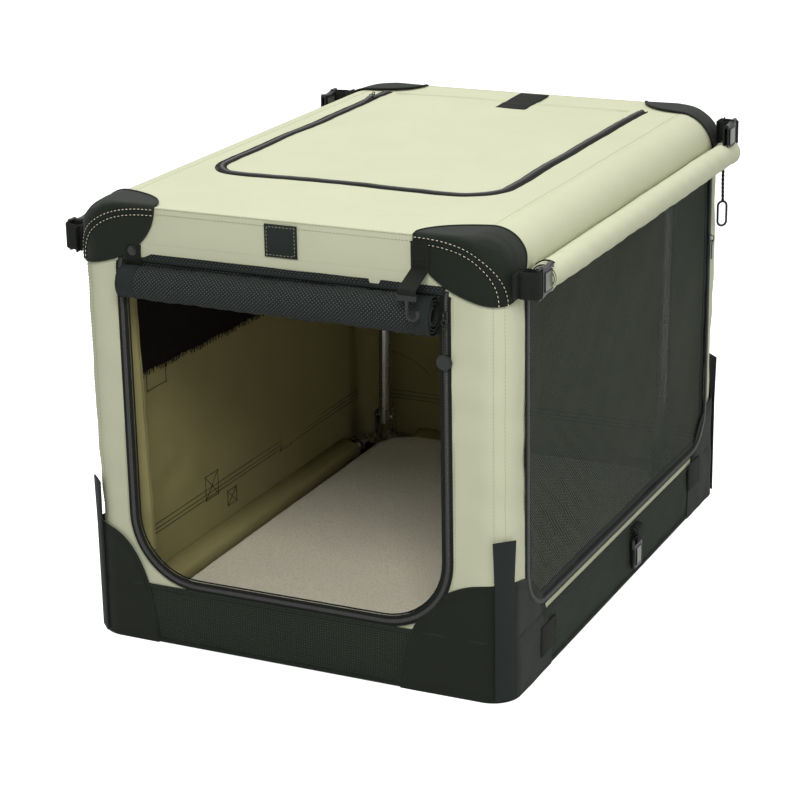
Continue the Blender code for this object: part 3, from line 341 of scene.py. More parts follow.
def smooth(name, tone, rough, metal=0.0, bump=0.0, scale=300.0):
    """Thread, plastic or metal; bump and scale give the fine grain of its surface."""

    def shade(tree):
        inputs = {"Base Color": tone, "Roughness": rough, "Metallic": metal}
        if not metal:
            inputs["Specular IOR Level"] = 0.3
        if bump:
            where = add(tree, "ShaderNodeTexCoord", {}).outputs["Object"]
            grain = {"Vector": where, "Scale": scale, "Detail": 3.0}
            grain = add(tree, "ShaderNodeTexNoise", grain).outputs[0]
            uneven = {0: grain, 1: 0.2, 2: rough - 0.1}
            uneven = add(tree, "ShaderNodeMath", uneven, operation="MULTIPLY_ADD")
            relief = {"Strength": bump, "Distance": 0.0004, "Height": grain}
            inputs["Roughness"] = uneven.outputs[0]
            inputs["Normal"] = add(tree, "ShaderNodeBump", relief).outputs[0]
        return inputs

    return surface(name, shade)


def mix_finishes():
    """Every finish, by the short name that its pieces use.

    Cloth threads are really 0.3 to 0.5 mm apart. The render shows about 1.5 mm to a pixel, so each
    weave's pitch, in metres, is as coarse as it needs to show, and the coarse cloths stay coarser
    than the fine ones.
    """
    tint = bpy.context.scene.crate_colours
    FINISH.update(
        # Polyester canvas, plain woven from 600-denier yarn and coated behind: dull, with the dye
        # a little uneven, and a faint grain under raking light.
        canvas=woven("Sage polyester canvas", tint.canvas, tint.canvas_shade, 0.0011, bump=0.22),
        # Coated face of the same cloth: flatter, and browner in the shade of the crate.
        lining=woven("Olive lining", tint.lining, tint.lining_shade, 0.0011, bump=0.2),
        # Polyester dobby, woven with raised floats 2 to 3 mm apart: rows of pale dots on charcoal.
        band=woven(
            "Charcoal dobby cloth",
            tint.band,
            tint.band_shade,
            0.0034,
            bump=0.5,
            dots=tint.band_dots,
            dot_at=0.74,
        ),
        # Ripstop nylon, woven close: the darkest cloth, with a thin sheen at its rounded edges.
        patch=woven(
            "Charcoal ripstop", tint.patch, tint.patch_shade, 0.0013, bump=0.25, sheen=0.05
        ),
        # Grosgrain tape, folded over hems: a narrow matt edge.
        binding=woven(
            "Charcoal binding tape", tint.binding, tint.binding_shade, 0.0011, bump=0.3
        ),
        # Nylon webbing, woven thick in a herringbone of about 2 mm: deep slanting ribs.
        webbing=woven(
            "Black nylon webbing", tint.webbing, tint.webbing_shade, 0.0022, turn=45, bump=0.6
        ),
        # Zip tape, woven in a fine twill: matt beside the glossy coil.
        tape=woven("Black zip tape", tint.zip_tape, tint.zip_tape_shade, 0.0011, turn=45, bump=0.4),
        # Vinyl-coated polyester mesh in many layers: closed to the eye, with knots 3 to 4 mm
        # apart in slanting rows; the knots' paler colour is a painted highlight.
        roll=woven(
            "Rolled door mesh",
            tint.roll,
            tint.roll_shade,
            0.0036,
            turn=45,
            bump=0.6,
            dots=tint.roll_knot_highlight,
            dot_at=0.66,
        ),
        # The same mesh in one layer, with holes: dark, and half seen through. Its real holes are
        # 1.5 mm apart, and drawn 3 mm apart so that they show.
        mesh=see_through("Side door mesh", tint.mesh, 0.0030, 0.50, 45),
        # Mesh with its closed cover behind it: dark mesh, painted close to black with painted
        # shade.
        pane=woven(
            "Dark window mesh with painted shade", tint.window, tint.window_shade, 0.0024, turn=45, bump=0.5
        ),
        # Polyester fleece, brushed: tufts of about 3 mm in clumps of 15 mm, matt and soft, with
        # painted shade in the hollows between the tufts.
        fleece=fleece("Cream short-pile fleece", tint.fleece, tint.fleece_hollow_shade),
        # Spun polyester thread: matt.
        cream=smooth("Cream polyester thread", tint.cap_thread, 0.7),
        seam=smooth("Sage polyester thread", tint.seam_thread, 0.7),
        dark_seam=smooth("Dark olive polyester thread", tint.lining_thread, 0.7),
        black=smooth("Black polyester thread", tint.black_thread, 0.7),
        # Extruded nylon, wound to a coil: half gloss, with a light on each ridge.
        coil=smooth("Black nylon coil", tint.coil, 0.38),
        # Steel tube, drawn and zinc plated: clear highlights, blurred a little by drawing marks
        # of about 5 mm.
        steel=smooth("Zinc-plated steel tube", linear("A9A9A4"), 0.30, 1.0, 0.15, 180.0),
        # Pressed and zinc plated: the same, with the slow unevenness of the press.
        zinc=smooth("Zinc-plated pressed steel", linear("B4B4AF"), 0.28, 1.0, 0.2, 120.0),
        # Acetal, moulded against an eroded tool: a fine grain of about 1.5 mm, half matt.
        plastic=smooth("Moulded black acetal", tint.plastic, 0.40, 0.0, 0.15, 700.0),
        # The same, moulded against a polished panel; its grey colour is a painted reflection of the
        # sky.
        satin=smooth("Moulded acetal face with painted sky reflection", tint.plastic_face_painted_sky, 0.32, 0.0, 0.10, 500.0),
        # Die-cast zinc alloy, tumbled and lacquered black: dark, with sharp lights.
        slider=smooth("Black lacquered zinc alloy", linear("2A2A29"), 0.26, 0.6),
    )


# Geometry gathered into one piece


def unit(v):
    """Vectors made one long."""
    return v / np.maximum(np.linalg.norm(v, axis=-1, keepdims=True), 1e-12)


def resample(points, step):
    """A polyline cut into even steps."""
    points = np.asarray(points, float)
    lengths = np.r_[0, np.cumsum(np.linalg.norm(np.diff(points, axis=0), axis=1))]
    count = max(2, int(round(lengths[-1] / step)) + 1)
    at = np.linspace(0, lengths[-1], count)
    return np.stack([np.interp(at, lengths, points[:, k]) for k in range(points.shape[1])], 1)


def tangents(points):
    """The way ahead at each point of a path."""
    return unit(np.gradient(points, axis=0))


def circle(radius, sides=8, flat=1.0):
    """A round section, or an oval one whose height is flat times its width."""
    turn = np.arange(sides) * math.tau / sides
    return np.stack([radius * np.cos(turn), radius * flat * np.sin(turn)], 1)


def strip_profile(width, thick):
    """A flat strip's section with softened edges: its underside lies at zero."""
    w, t = width / 2, thick
    return np.array(
        [(-w, 0), (w, 0), (w, t * 0.6), (w - t * 0.6, t), (0, t), (-w + t * 0.6, t), (-w, t * 0.6)]
    )


class Piece:
    """Faces sewn together into one object, with a UV in metres.

    The skins, coils and stitches follow the cover's waves and cut edges point by point, which no
    bmesh operator gives, so they are worked out as grids and sweeps.
    """

    def __init__(self):
        self.points, self.uvs, self.faces, self.marks = [], [], [], []
        self.count = 0

    def grid(self, points, uv=None, mark=0, keep=None, flip=False):
        """A sheet through rows of points; mark picks its finish and keep its cells."""
        rows, cols = points.shape[:2]
        if uv is None:
            along = np.cumsum(np.r_[0, np.linalg.norm(np.diff(points[:, 0], axis=0), axis=1)])
            across = np.cumsum(np.r_[0, np.linalg.norm(np.diff(points[0], axis=0), axis=1)])
            uv = np.stack(np.meshgrid(along, across, indexing="ij"), -1)
        index = self.count + np.arange(rows * cols).reshape(rows, cols)
        quads = np.stack([index[:-1, :-1], index[1:, :-1], index[1:, 1:], index[:-1, 1:]], -1)
        if flip:
            quads = quads[..., ::-1]
        quads = quads[keep] if keep is not None else quads.reshape(-1, 4)
        self.take(points.reshape(-1, 3), uv.reshape(-1, 2), quads.reshape(-1, 4), mark)

    def take(self, points, uv, quads, mark):
        """Adds quads, counted from the points that come with them."""
        self.points.append(points)
        self.uvs.append(uv)
        self.faces.append(quads)
        self.marks.append(np.full(len(quads), mark))
        self.count += len(points)

    def sweep(self, points, normals, profile, mark=0, closed=False, scale=None):
        """A section carried along a path, closed at its ends; its height follows the normals."""
        points = np.asarray(points, float)
        along = tangents(points)
        normals = unit(normals - along * (normals * along).sum(1, keepdims=True))
        side = np.cross(along, normals)
        swell = np.ones(len(points)) if scale is None else np.asarray(scale, float)
        rings = (
            points[:, None]
            + side[:, None] * (profile[None, :, 0] * swell[:, None])[..., None]
            + normals[:, None] * (profile[None, :, 1] * swell[:, None])[..., None]
        )
        rings = np.concatenate([rings, rings[:, :1]], 1)
        if closed:
            rings = np.concatenate([rings, rings[:1]])
        run = np.cumsum(np.r_[0, np.linalg.norm(np.diff(rings[:, 0], axis=0), axis=1)])
        girth = np.cumsum(np.r_[0, np.linalg.norm(np.diff(rings[0], axis=0), axis=1)])
        uv = np.stack(np.meshgrid(run, girth, indexing="ij"), -1)
        self.grid(rings, uv, mark)
        if not closed:
            for ring, end in ((rings[0, :-1], False), (rings[-1, :-1], True)):
                self.fan(ring, mark, end)

    def fan(self, ring, mark=0, flip=False):
        """Closes an end: a ring joined to its middle."""
        centre = ring.mean(0)
        both = np.stack([np.vstack([ring, ring[:1]]), np.repeat(centre[None], len(ring) + 1, 0)])
        self.grid(both, np.zeros((2, len(ring) + 1, 2)) + both[..., :2], mark, flip=not flip)

    def stitches(
        self, points, normals, mark=0, radius=STRONG_THREAD, pitch=None, long=None, lift=0.0002
    ):
        """A row of thread stitches lying on a path."""
        pitch, long = pitch or size("stitch_pitch"), long or size("stitch")
        both = resample(np.hstack([points, normals * NORMAL_SHARE]), pitch)
        spots, up = both[:, :3], unit(both[:, 3:])
        along = tangents(spots)
        up = unit(up - along * (up * along).sum(1, keepdims=True))
        side = np.cross(along, up)
        profile = circle(radius, 5)
        # Along the stitch and how thick: it dips into the cloth at both ends
        shares = np.array([(-0.5, 0.3), (-0.35, 1.0), (0.35, 1.0), (0.5, 0.3)])
        rings = (
            (spots + up * lift)[:, None, None]
            + along[:, None, None] * (shares[:, 0] * long)[None, :, None, None]
            + side[:, None, None] * (shares[:, 1, None] * profile[None, :, 0])[None, ..., None]
            + up[:, None, None] * (shares[:, 1, None] * profile[None, :, 1])[None, ..., None]
        )
        n, rows, sides = rings.shape[:3]
        index = self.count + np.arange(n * rows * sides).reshape(n, rows, sides)
        wrapped = np.concatenate([index, index[:, :, :1]], 2)
        quads = np.stack(
            [wrapped[:, :-1, :-1], wrapped[:, 1:, :-1], wrapped[:, 1:, 1:], wrapped[:, :-1, 1:]], -1
        )
        flat = rings.reshape(-1, 3)
        self.take(flat, flat[:, :2], quads.reshape(-1, 4), mark)

    def coil_zip(self, points, normals, tape, mark_tape=0, mark_coil=1):
        """Zip tape with a ridged nylon coil down its middle, and its two rows of stitches."""
        fine = resample(np.hstack([points, normals * NORMAL_SHARE]), COIL_STEP)
        spots, up = fine[:, :3] + unit(fine[:, 3:]) * 0.0006, unit(fine[:, 3:])
        coarse = slice(None, None, 6)
        self.sweep(spots[coarse], up[coarse], strip_profile(tape, TAPE_THICK), mark_tape)
        ridge = 1.0 + 0.30 * np.array([-1, 0.4, 1, 0.4])[np.arange(len(spots)) % 4]
        self.sweep(spots + up * TAPE_THICK, up, circle(COIL_R, 8, 0.62), mark_coil, scale=ridge)
        side = np.cross(tangents(spots), up)
        for share in (-0.36, 0.36):
            row = spots + side * tape * share + up * TAPE_THICK
            self.stitches(row[coarse], up[coarse], mark_tape, FINE_THREAD)

    def build(self, name, *finishes):
        """The finished object; its finishes are in the order of the marks."""
        name = name.replace(" ", "_")
        mesh = bpy.data.meshes.new(name)
        points = np.vstack(self.points)
        faces = np.vstack(self.faces)
        mesh.vertices.add(len(points))
        mesh.vertices.foreach_set("co", points.ravel().astype(np.float32))
        mesh.loops.add(faces.size)
        mesh.loops.foreach_set("vertex_index", faces.ravel().astype(np.int32))
        mesh.polygons.add(len(faces))
        mesh.polygons.foreach_set("loop_start", np.arange(0, faces.size, 4, dtype=np.int32))
        mesh.polygons.foreach_set("material_index", np.hstack(self.marks).astype(np.int32))
        mesh.polygons.foreach_set("use_smooth", np.ones(len(faces), bool))
        layer = mesh.uv_layers.new(name="metres")
        uv = np.vstack(self.uvs)[faces.ravel()]
        layer.data.foreach_set("uv", uv.ravel().astype(np.float32))
        mesh.update(calc_edges=True)
        mesh.validate()
        made = bpy.data.objects.new(name, mesh)
        bpy.context.scene.collection.objects.link(made)
        for finish in finishes:
            mesh.materials.append(FINISH[finish])
        return made


def ripple(u, v, seed, long, waves=5):
    """Smooth uneven waves from about -1 to 1, long metres each, the same for the same seed."""
    rng = np.random.default_rng(seed)
    total = np.zeros(np.broadcast(u, v).shape)
    for _ in range(waves):
        angle, phase = rng.uniform(0, math.pi), rng.uniform(0, math.tau)
        wave = math.tau / (long * rng.uniform(0.6, 1.6))
        total += np.sin((u * math.cos(angle) + v * math.sin(angle)) * wave + phase)
    return total / waves * 1.4


def facing(path, way):
    """The same normal for every point of a path."""
    return np.tile(np.asarray(way, float), (len(path), 1))


def finished(made, slot, body, *nodes):
    """Hangs the piece on its body and hides the nodes that it stands for; slot is not used."""
    if nodes:
        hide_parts(*nodes)
    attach(made, body)
    return made


# The cover's outline as one walk round the crate


def perimeter(s):
    """Point and outward normal in plan, s metres round from the middle of the front."""
    s = np.mod(np.asarray(s, float), AROUND)
    starts = np.cumsum([0, SPAN_X, TURN, 2 * SPAN_Y, TURN, 2 * SPAN_X, TURN, 2 * SPAN_Y, TURN])
    x, y = np.zeros_like(s), np.zeros_like(s)
    nx, ny = np.zeros_like(s), np.zeros_like(s)
    runs = [
        (0, (0, -HALF_L), (1, 0)),
        (2, (HALF_W, -SPAN_Y), (0, 1)),
        (4, (SPAN_X, HALF_L), (-1, 0)),
        (6, (-HALF_W, SPAN_Y), (0, -1)),
        (8, (-SPAN_X, -HALF_L), (1, 0)),
    ]
    for k, (px, py), (dx, dy) in runs:
        end = starts[k + 1] if k + 1 < len(starts) else AROUND + 1
        on = (s >= starts[k]) & (s < end)
        d = s[on] - starts[k]
        x[on], y[on], nx[on], ny[on] = px + dx * d, py + dy * d, dy, -dx
    arcs = [
        (1, (SPAN_X, -SPAN_Y), -90),
        (3, (SPAN_X, SPAN_Y), 0),
        (5, (-SPAN_X, SPAN_Y), 90),
        (7, (-SPAN_X, -SPAN_Y), 180),
    ]
    for k, (cx, cy), first in arcs:
        on = (s >= starts[k]) & (s < starts[k + 1])
        turn = np.radians(first) + (s[on] - starts[k]) / CORNER_R
        nx[on], ny[on] = np.cos(turn), np.sin(turn)
        x[on], y[on] = cx + CORNER_R * nx[on], cy + CORNER_R * ny[on]
    return np.stack([x, y], -1), np.stack([nx, ny], -1)


def on_shell(s, z, out=0.0):
    """Points on the walls, out metres outside them, and their normals."""
    s, z = np.broadcast_arrays(np.asarray(s, float), np.asarray(z, float))
    plan, normal = perimeter(s)
    out = np.broadcast_to(out, s.shape)[..., None]
    points = np.concatenate([plan + normal * out, z[..., None]], -1)
    return points, np.concatenate([normal, np.zeros_like(z)[..., None]], -1)


def shell_line(path, out=0.0, step=0.004):
    """A line on the walls through (s, z) points."""
    line = resample(path, step)
    return on_shell(line[:, 0], line[:, 1], out)


def wall_wave(s, z):
    """How far the wall cloth bellies out of true; it lies flat along the lid."""
    low = np.clip((z - BAND) / 0.05, 0, 1)
    high = np.clip((LID_LOW - z) / 0.06, 0, 1)
    slow = ripple(s, z, 3, 0.30) * size("slack")
    quick = ripple(s, z, 8, 0.07) * size("slack") / 3
    return (slow + quick) * (0.25 + 0.75 * low) * high


def arc2(cx, cy, radius, first, last, steps=12):
    """Points on an arc between two turns in degrees."""
    turn = np.radians(np.linspace(first, last, steps))
    return np.stack([cx + radius * np.cos(turn), cy + radius * np.sin(turn)], 1)


def u_shape(box, out=0.0):
    """The open U of a zip: down the left, round both lower corners and up the right."""
    left, low, right, high, radius = box
    left, low, right, radius = left - out, low - out, right + out, radius + out
    return np.vstack(
        [
            [(left, high)],
            arc2(left + radius, low + radius, radius, 180, 270),
            arc2(right - radius, low + radius, radius, 270, 360),
            [(right, high)],
        ]
    )


def hole_depth(u, v, box):
    """Signed distance to a U-shaped hole, negative inside, and the way out of it."""
    left, low, right, high, radius = box
    cu, cv = (left + right) / 2, (low + high) / 2
    du, dv = u - cu, v - cv
    r = np.where(dv < 0, radius, 0.0)
    qu, qv = np.abs(du) - (right - left) / 2 + r, np.abs(dv) - (high - low) / 2 + r
    outside = np.hypot(np.maximum(qu, 0), np.maximum(qv, 0))
    depth = outside + np.minimum(np.maximum(qu, qv), 0) - r
    gu = np.where((qu > 0) & (qv > 0), qu, np.where(qu > qv, 1.0, 0.0)) * np.sign(du)
    gv = np.where((qu > 0) & (qv > 0), qv, np.where(qu > qv, 0.0, 1.0)) * np.sign(dv)
    long = np.maximum(np.hypot(gu, gv), 1e-9)
    return depth, gu / long, gv / long


def cut_grid(u, v, boxes):
    """A flat grid with holes whose edges follow the boxes; returns u, v and which cells stay."""
    u, v = np.meshgrid(u, v, indexing="ij")
    for box in boxes:
        depth, gu, gv = hole_depth(u, v, box)
        near = np.abs(depth) < CELL * 0.62  # points pulled onto the cut edge
        u, v = np.where(near, u - gu * depth, u), np.where(near, v - gv * depth, v)
    mid_u = (u[:-1, :-1] + u[1:, 1:] + u[1:, :-1] + u[:-1, 1:]) / 4
    mid_v = (v[:-1, :-1] + v[1:, 1:] + v[1:, :-1] + v[:-1, 1:]) / 4
    keep = np.ones(mid_u.shape, bool)
    for box in boxes:
        keep &= hole_depth(mid_u, mid_v, box)[0] > 0
    return u, v, keep


def cut_panel(u, v, box):
    """A flat grid cut to a box; returns u, v, which cells stay and the middles of the cells."""
    u, v = np.meshgrid(u, v, indexing="ij")
    depth, gu, gv = hole_depth(u, v, box)
    near = np.abs(depth) < SNAP
    u, v = np.where(near, u - gu * depth, u), np.where(near, v - gv * depth, v)
    mid = (u[:-1, :-1] + u[1:, 1:]) / 2, (v[:-1, :-1] + v[1:, 1:]) / 2
    return u, v, hole_depth(*mid, box)[0] < 0, mid


def squash_wall(made):
    """Gives the wall piece its own copy of its mesh."""
    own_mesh(made)


def wall_piece(name, s_from, s_to, boxes=(), seams=()):
    """One wall of two skins between two places round the crate, and its upright seams."""
    z_from, z_to = BAND - 0.002, LID_LOW + 0.002
    u = np.linspace(s_from, s_to, int((s_to - s_from) / CELL) + 1)
    v = np.linspace(z_from, z_to, int((z_to - z_from) / CELL) + 1)
    u, v, keep = cut_grid(u, v, boxes)
    piece = Piece()
    wave = wall_wave(u, v) - 0.0004 * (v > LID_LOW - 0.001)
    uv = np.stack([u, v], -1)
    outer, _ = on_shell(u, v, wave)
    inner, _ = on_shell(u, v, wave - TWO_PLY)
    piece.grid(outer, uv, 0, keep)
    piece.grid(inner, uv, 1, keep, flip=True)
    for at in seams:
        line = resample([(at, 0.09), (at, LID_LOW - 0.001)], 0.004)
        path, normal = on_shell(line[:, 0], line[:, 1], wall_wave(line[:, 0], line[:, 1]))
        piece.stitches(path, normal, 2, FINE_THREAD)
    return piece.build(name, "canvas", "lining", "seam")


# Frame


def finish_frame(frame):
    """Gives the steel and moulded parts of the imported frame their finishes."""
    finishes = {
        "steel": ("base_frame", "top_frame", "front_hoop", "rear_hoop"),
        "zinc": ("hinge_bracket", "hinge_rivet"),
        "plastic": ("frame_clip", "keeper_snap_hook", "side_hook"),
        "slider": ("hatch_zip", "side_zip_slider", "side_zip_pull", "front_zip_slider"),
        "patch": ("floor_panel",),
    }
    for finish, starts in finishes.items():
        for name, node in frame["nodes"].items():
            if name.startswith(starts):
                node.data.materials.clear()
                node.data.materials.append(FINISH[finish])
                for face in node.data.polygons:
                    face.use_smooth = False


# Walls


def make_walls():
    """The four canvas walls with their lining, doorways and upright seams."""
    turns = [SPAN_X + TURN * share for share in (0.30, 0.56)]
    seams = [way * at for way in (-1, 1) for at in turns]
    rear_seams = [REAR_MID + at for at in seams]
    door, side_door = widen(DOOR, 0.004), shift(widen(SIDE_DOOR, 0.004), SIDE_MID)
    for name, middle, half, holes, seams_at in (
        ("Front wall", 0, FRONT_END, [door], seams),
        ("Rear wall", REAR_MID, FRONT_END, (), rear_seams),
        ("Right wall", SIDE_MID, SPAN_Y, [side_door], ()),
        ("Left wall", LEFT_MID, SPAN_Y, (), ()),
    ):
        wall = wall_piece(name, middle - half, middle + half, holes, seams_at)
        finished(wall, "canvas", "base_and_walls", name.split()[0].lower() + "_panel")
        squash_wall(wall)


def thread_line(piece, points, mark=0):
    """A stitched line on the inner face of the walls through (s, z) points."""
    path, normal = shell_line(points, -0.0024)
    piece.stitches(path, -normal, mark, 0.0005, pitch=0.0034)


def crossed_box(piece, s, z, wide, tall):
    """A box of stitches with a cross in it, as a webbing's end is sewn down."""
    low, high = z - tall / 2, z + tall / 2
    left, right = s - wide / 2, s + wide / 2
    thread_line(piece, [(left, low), (right, low), (right, high), (left, high), (left, low)])
    thread_line(piece, [(left, low), (right, high)])
    thread_line(piece, [(right, low), (left, high)])


def make_inside():
    """What is sewn on the lining: stitched lines, crossed boxes, and sleeves over the base tube."""
    piece = Piece()
    for z in (0.083, 0.089, 0.096):
        thread_line(piece, [(LEFT_MID - SPAN_Y, z), (LEFT_MID + SPAN_Y, z)])
        thread_line(piece, [(REAR_MID - SPAN_X, z - 0.004), (REAR_MID + SPAN_X, z - 0.004)])
    crossed_box(piece, LEFT_MID + 0.101, 0.098, 0.036, 0.036)
    crossed_box(piece, LEFT_MID + 0.044, 0.062, 0.026, 0.022)
    crossed_box(piece, LEFT_MID - 0.126, 0.098, 0.036, 0.036)
    for s in (LEFT_MID + 0.262, LEFT_MID + 0.212):
        thread_line(piece, [(s, 0.290), (s, 0.325)])
    thread_line(piece, [(LEFT_MID + 0.262, 0.290), (LEFT_MID + 0.212, 0.290)])
    arch = arc2(REAR_MID + 0.262, 0.040, 0.118, 90, 25, 20)
    thread_line(piece, np.column_stack([2 * (REAR_MID + 0.262) - arch[:, 0], arch[:, 1]]))
    made = piece.build("Lining stitches", "dark_seam")
    squash_wall(finished(made, "canvas", "base_and_walls"))
    sleeve = Piece()
    turn = np.radians(np.linspace(105, -8, 12))
    for centre, ahead, half in (
        ((-HALF_W + 0.023, 0), (0, 1), 0.318),
        ((HALF_W - 0.023, 0), (0, 1), 0.318),
        ((0, HALF_L - 0.020), (1, 0), 0.200),
        ((0, -HALF_L + 0.020), (1, 0), 0.200),
    ):
        out = unit(np.array(centre, float))
        along = np.linspace(-half, half, 90)
        g, a = np.meshgrid(along, turn, indexing="ij")
        r = 0.0112 + 0.0004 * ripple(g, a * 0.02, 61, 0.05)
        across = -r * np.cos(a)
        up = 0.0158 + r * np.sin(a)
        across[:, 0], up[:, 0] = 0.0190, 0.033
        across[:, -1], up[:, -1] = -0.0150, 0.0066
        x = centre[0] + ahead[0] * g + out[0] * across
        y = centre[1] + ahead[1] * g + out[1] * across
        flip = bool(ahead[0] * out[1] - ahead[1] * out[0] > 0)
        sleeve.grid(np.stack([x, y, up], -1), np.stack([g, a * 0.011], -1), 0, flip=flip)
    cover = sleeve.build("Base tube sleeves", "lining")
    solidify(finished(cover, "canvas", "base_and_walls"), ONE_PLY)


def make_leg_sleeves():
    """The lining sewn round the front hoop's legs, so that the doorway shows no steel there."""
    piece = Piece()
    bottom, top = 0.098, 0.515
    for side in (-1, 1):
        z = np.linspace(bottom, top, 90)
        turn = np.linspace(0, math.tau, 25)
        gz, a = np.meshgrid(z, turn, indexing="ij")
        uneven = 0.0006 * ripple(gz, np.cos(a) * 0.01, 71, 0.05)
        r = 0.0112 + uneven * np.clip((gz - bottom) / 0.01, 0, 1)
        x = side * LEG_X + r * np.cos(a)
        y = LEG_Y + LEG_LEAN * (gz - LEG_Z) + r * np.sin(a)
        piece.grid(np.stack([x, y, gz], -1), np.stack([a * 0.011, gz], -1), 0, flip=True)
    made = piece.build("Front leg sleeves", "lining")
    solidify(finished(made, "canvas", "front_hoop"), ONE_PLY)


def solidify(made, thick):
    """Gives a single skin its cloth's thickness."""
    wall = made.modifiers.new("Cloth", "SOLIDIFY")
    wall.thickness = thick
    wall.offset = -1


def widen(box, out):
    """An opening made out metres wider and lower; its top, under the lid, hardly rises."""
    left, low, right, high, radius = box
    return (left - out, low - out, right + out, high + 0.2 * out, radius + out)


def shift(box, by):
    """An opening moved along the walk."""
    left, low, right, high, radius = box
    return (left + by, low, right + by, high, radius)


def make_window():
    """The left wall's dark mesh seen from inside, painted near black with painted shade, and the
    cover outside with its zip.
    """
    piece = Piece()
    u = np.linspace(LEFT_MID - 0.285, LEFT_MID + 0.285, 200)
    share = (u - u[0]) / (u[-1] - u[0])
    low = 0.303 + 0.016 * share + 0.0016 * ripple(u, u * 0, 4, 0.012)
    v = np.linspace(0, 1, 26)
    grid_u, grid_v = np.meshgrid(u, v, indexing="ij")
    z = low[:, None] + (LID_LOW - 0.006 - low[:, None]) * grid_v
    out = wall_wave(grid_u, z) - 0.0030
    points, _ = on_shell(grid_u, z, out)
    piece.grid(points, np.stack([grid_u, z], -1), 0, flip=True)
    rng = np.random.default_rng(5)
    for at, edge in zip(u, low):  # loose threads at the mesh's cut edge
        drop = rng.uniform(0.002, 0.007)
        lean = rng.uniform(-0.003, 0.003)
        thread, _ = on_shell([at, at + lean], [edge + 0.002, edge - drop], -0.0034)
        thread = resample(thread, 0.003)
        piece.sweep(thread, facing(thread, (1.0, 0, 0)), circle(0.0005, 4), 0)
    inside = piece.build("Window mesh", "pane")
    finished(inside, "mesh_cloth", "base_and_walls", "left_window_mesh")
    cover = Piece()
    box = left, bottom, right, _, radius = shift(WINDOW_COVER, LEFT_MID)
    columns = np.linspace(left - 0.004, right + 0.004, 96)
    rows = np.linspace(bottom - 0.004, LID_LOW - 0.001, 42)
    u, v, keep, _ = cut_panel(columns, rows, box)
    points, _ = on_shell(u, v, wall_wave(u, v) + 0.0022 + 0.0006 * ripple(u, v, 12, 0.05))
    cover.grid(points, np.stack([u, v], -1), 0, keep)
    rim = u_shape((left, bottom, right, LID_LOW - 0.002, radius))
    path, normal = shell_line(rim, 0.0016)
    path = path + normal * (wall_wave(LEFT_MID - path[:, 1], path[:, 2]) + 0.0014)[:, None]
    cover.coil_zip(path, normal, 0.016, 1, 2)
    outside = cover.build("Window cover", "canvas", "tape", "coil")
    finished(outside, "canvas", "base_and_walls", "left_window_cover")
    for made in (inside, outside):
        squash_wall(made)


def make_side_door():
    """The see-through mesh door in the right wall, its hem and its coil zip."""
    left, low, right, high, radius = shift(SIDE_DOOR, SIDE_MID)
    piece = Piece()
    top = LID_LOW - 0.016
    box = (left, low, right, high + 0.05, radius)
    columns, rows = np.linspace(left - 0.004, right + 0.004, 118), np.linspace(low - 0.004, top, 72)
    u, v, keep, mid = cut_panel(columns, rows, box)
    inner = -hole_depth(u, v, box)[0]
    slack = np.clip(inner / 0.05, 0, 1)
    fold = np.exp(-(((u - left - 0.10) / 0.12) ** 2) - ((v - low - 0.08) / 0.10) ** 2)
    folds = 0.0032 * fold * np.sin(((u - left) * 0.8 + (v - low)) * 190)
    out = wall_wave(u, v) + slack * (0.0015 * ripple(u, v, 21, 0.16) + folds - 0.002)
    points, normals = on_shell(u, v, out)
    uv = np.stack([u, v], -1)
    piece.grid(points, uv, 0, keep)
    deep = 0.013  # the hem's width
    within = (left + deep, low + deep, right - deep, high + 0.05, radius - 0.012)
    hem = hole_depth(*mid, within)[0] > 0
    for side in (0.0006, -0.0006):
        hemmed, _ = on_shell(u, v, out + side)
        piece.grid(hemmed, uv, 1, keep & hem, flip=side < 0)
    made = piece.build("Side mesh door", "mesh", "binding")
    finished(made, "mesh_cloth", "base_and_walls", "side_mesh_door")
    zipper = Piece()
    path = u_shape((left, low, right, top, radius))
    points, normals = shell_line(path, 0.0008, ZIP_STEP)
    zipper.coil_zip(points, normals, size("door_zip"))
    path = u_shape((left, low, right, top, radius), 0.010)
    points, normals = shell_line(path, 0.0002, ZIP_STEP)
    zipper.stitches(points, normals, 2, FINE_THREAD)
    band = zipper.build("Side door zip", "tape", "coil", "seam")
    finished(band, "webbing", "base_and_walls", "side_zip")
    for each in (made, band):
        squash_wall(each)


def make_front_zip():
    """The doorway's zip and inner piping, and the mesh that hangs from the lid to the roll."""
    left, low, right, _, radius = DOOR
    box = (left, low, right, LID_LOW - 0.002, radius)
    dip_from, dip_over = 0.512, 0.012  # the upper ends pass under the lid
    zipper = Piece()
    points, normals = shell_line(u_shape(box), 0.0008, ZIP_STEP)
    dip = np.clip((points[:, 2:] - dip_from) / dip_over, 0, 1)
    zipper.coil_zip(points - normals * 0.0045 * dip, normals, size("door_zip"))
    points, normals = shell_line(u_shape(box, -0.008), -0.0004, ZIP_STEP)
    dip = np.clip((points[:, 2:] - dip_from) / dip_over, 0, 1)
    zipper.sweep(points - normals * 0.0035 * dip, normals, circle(0.0012, 6), 0)
    points, normals = shell_line(u_shape(box, 0.0095), 0.0002, ZIP_STEP)
    zipper.stitches(points, normals, 2, FINE_THREAD)
    made = zipper.build("Front door zip", "tape", "coil", "seam")
    squash_wall(finished(made, "webbing", "base_and_walls", "front_zip"))
    net = Piece()
    columns, rows = np.linspace(left, right, 90), np.linspace(0.466, 0.530, 12)
    u, v = np.meshgrid(columns, rows, indexing="ij")
    slack = 0.0006 - 0.22 * np.clip(0.523 - v, 0, 1) + 0.0012 * ripple(u, v, 31, 0.05)
    points, _ = on_shell(u, v, slack)
    net.grid(points, np.stack([u, v], -1))
    hem, normals = shell_line([(left + 0.003, 0.5215), (right - 0.003, 0.5215)], 0.0004)
    net.sweep(hem, normals, strip_profile(0.005, 0.0010), 1)
    hung = net.build("Door mesh above the roll", "roll", "binding")
    finished(hung, "mesh_cloth", "top")


# Lower band and corner patches


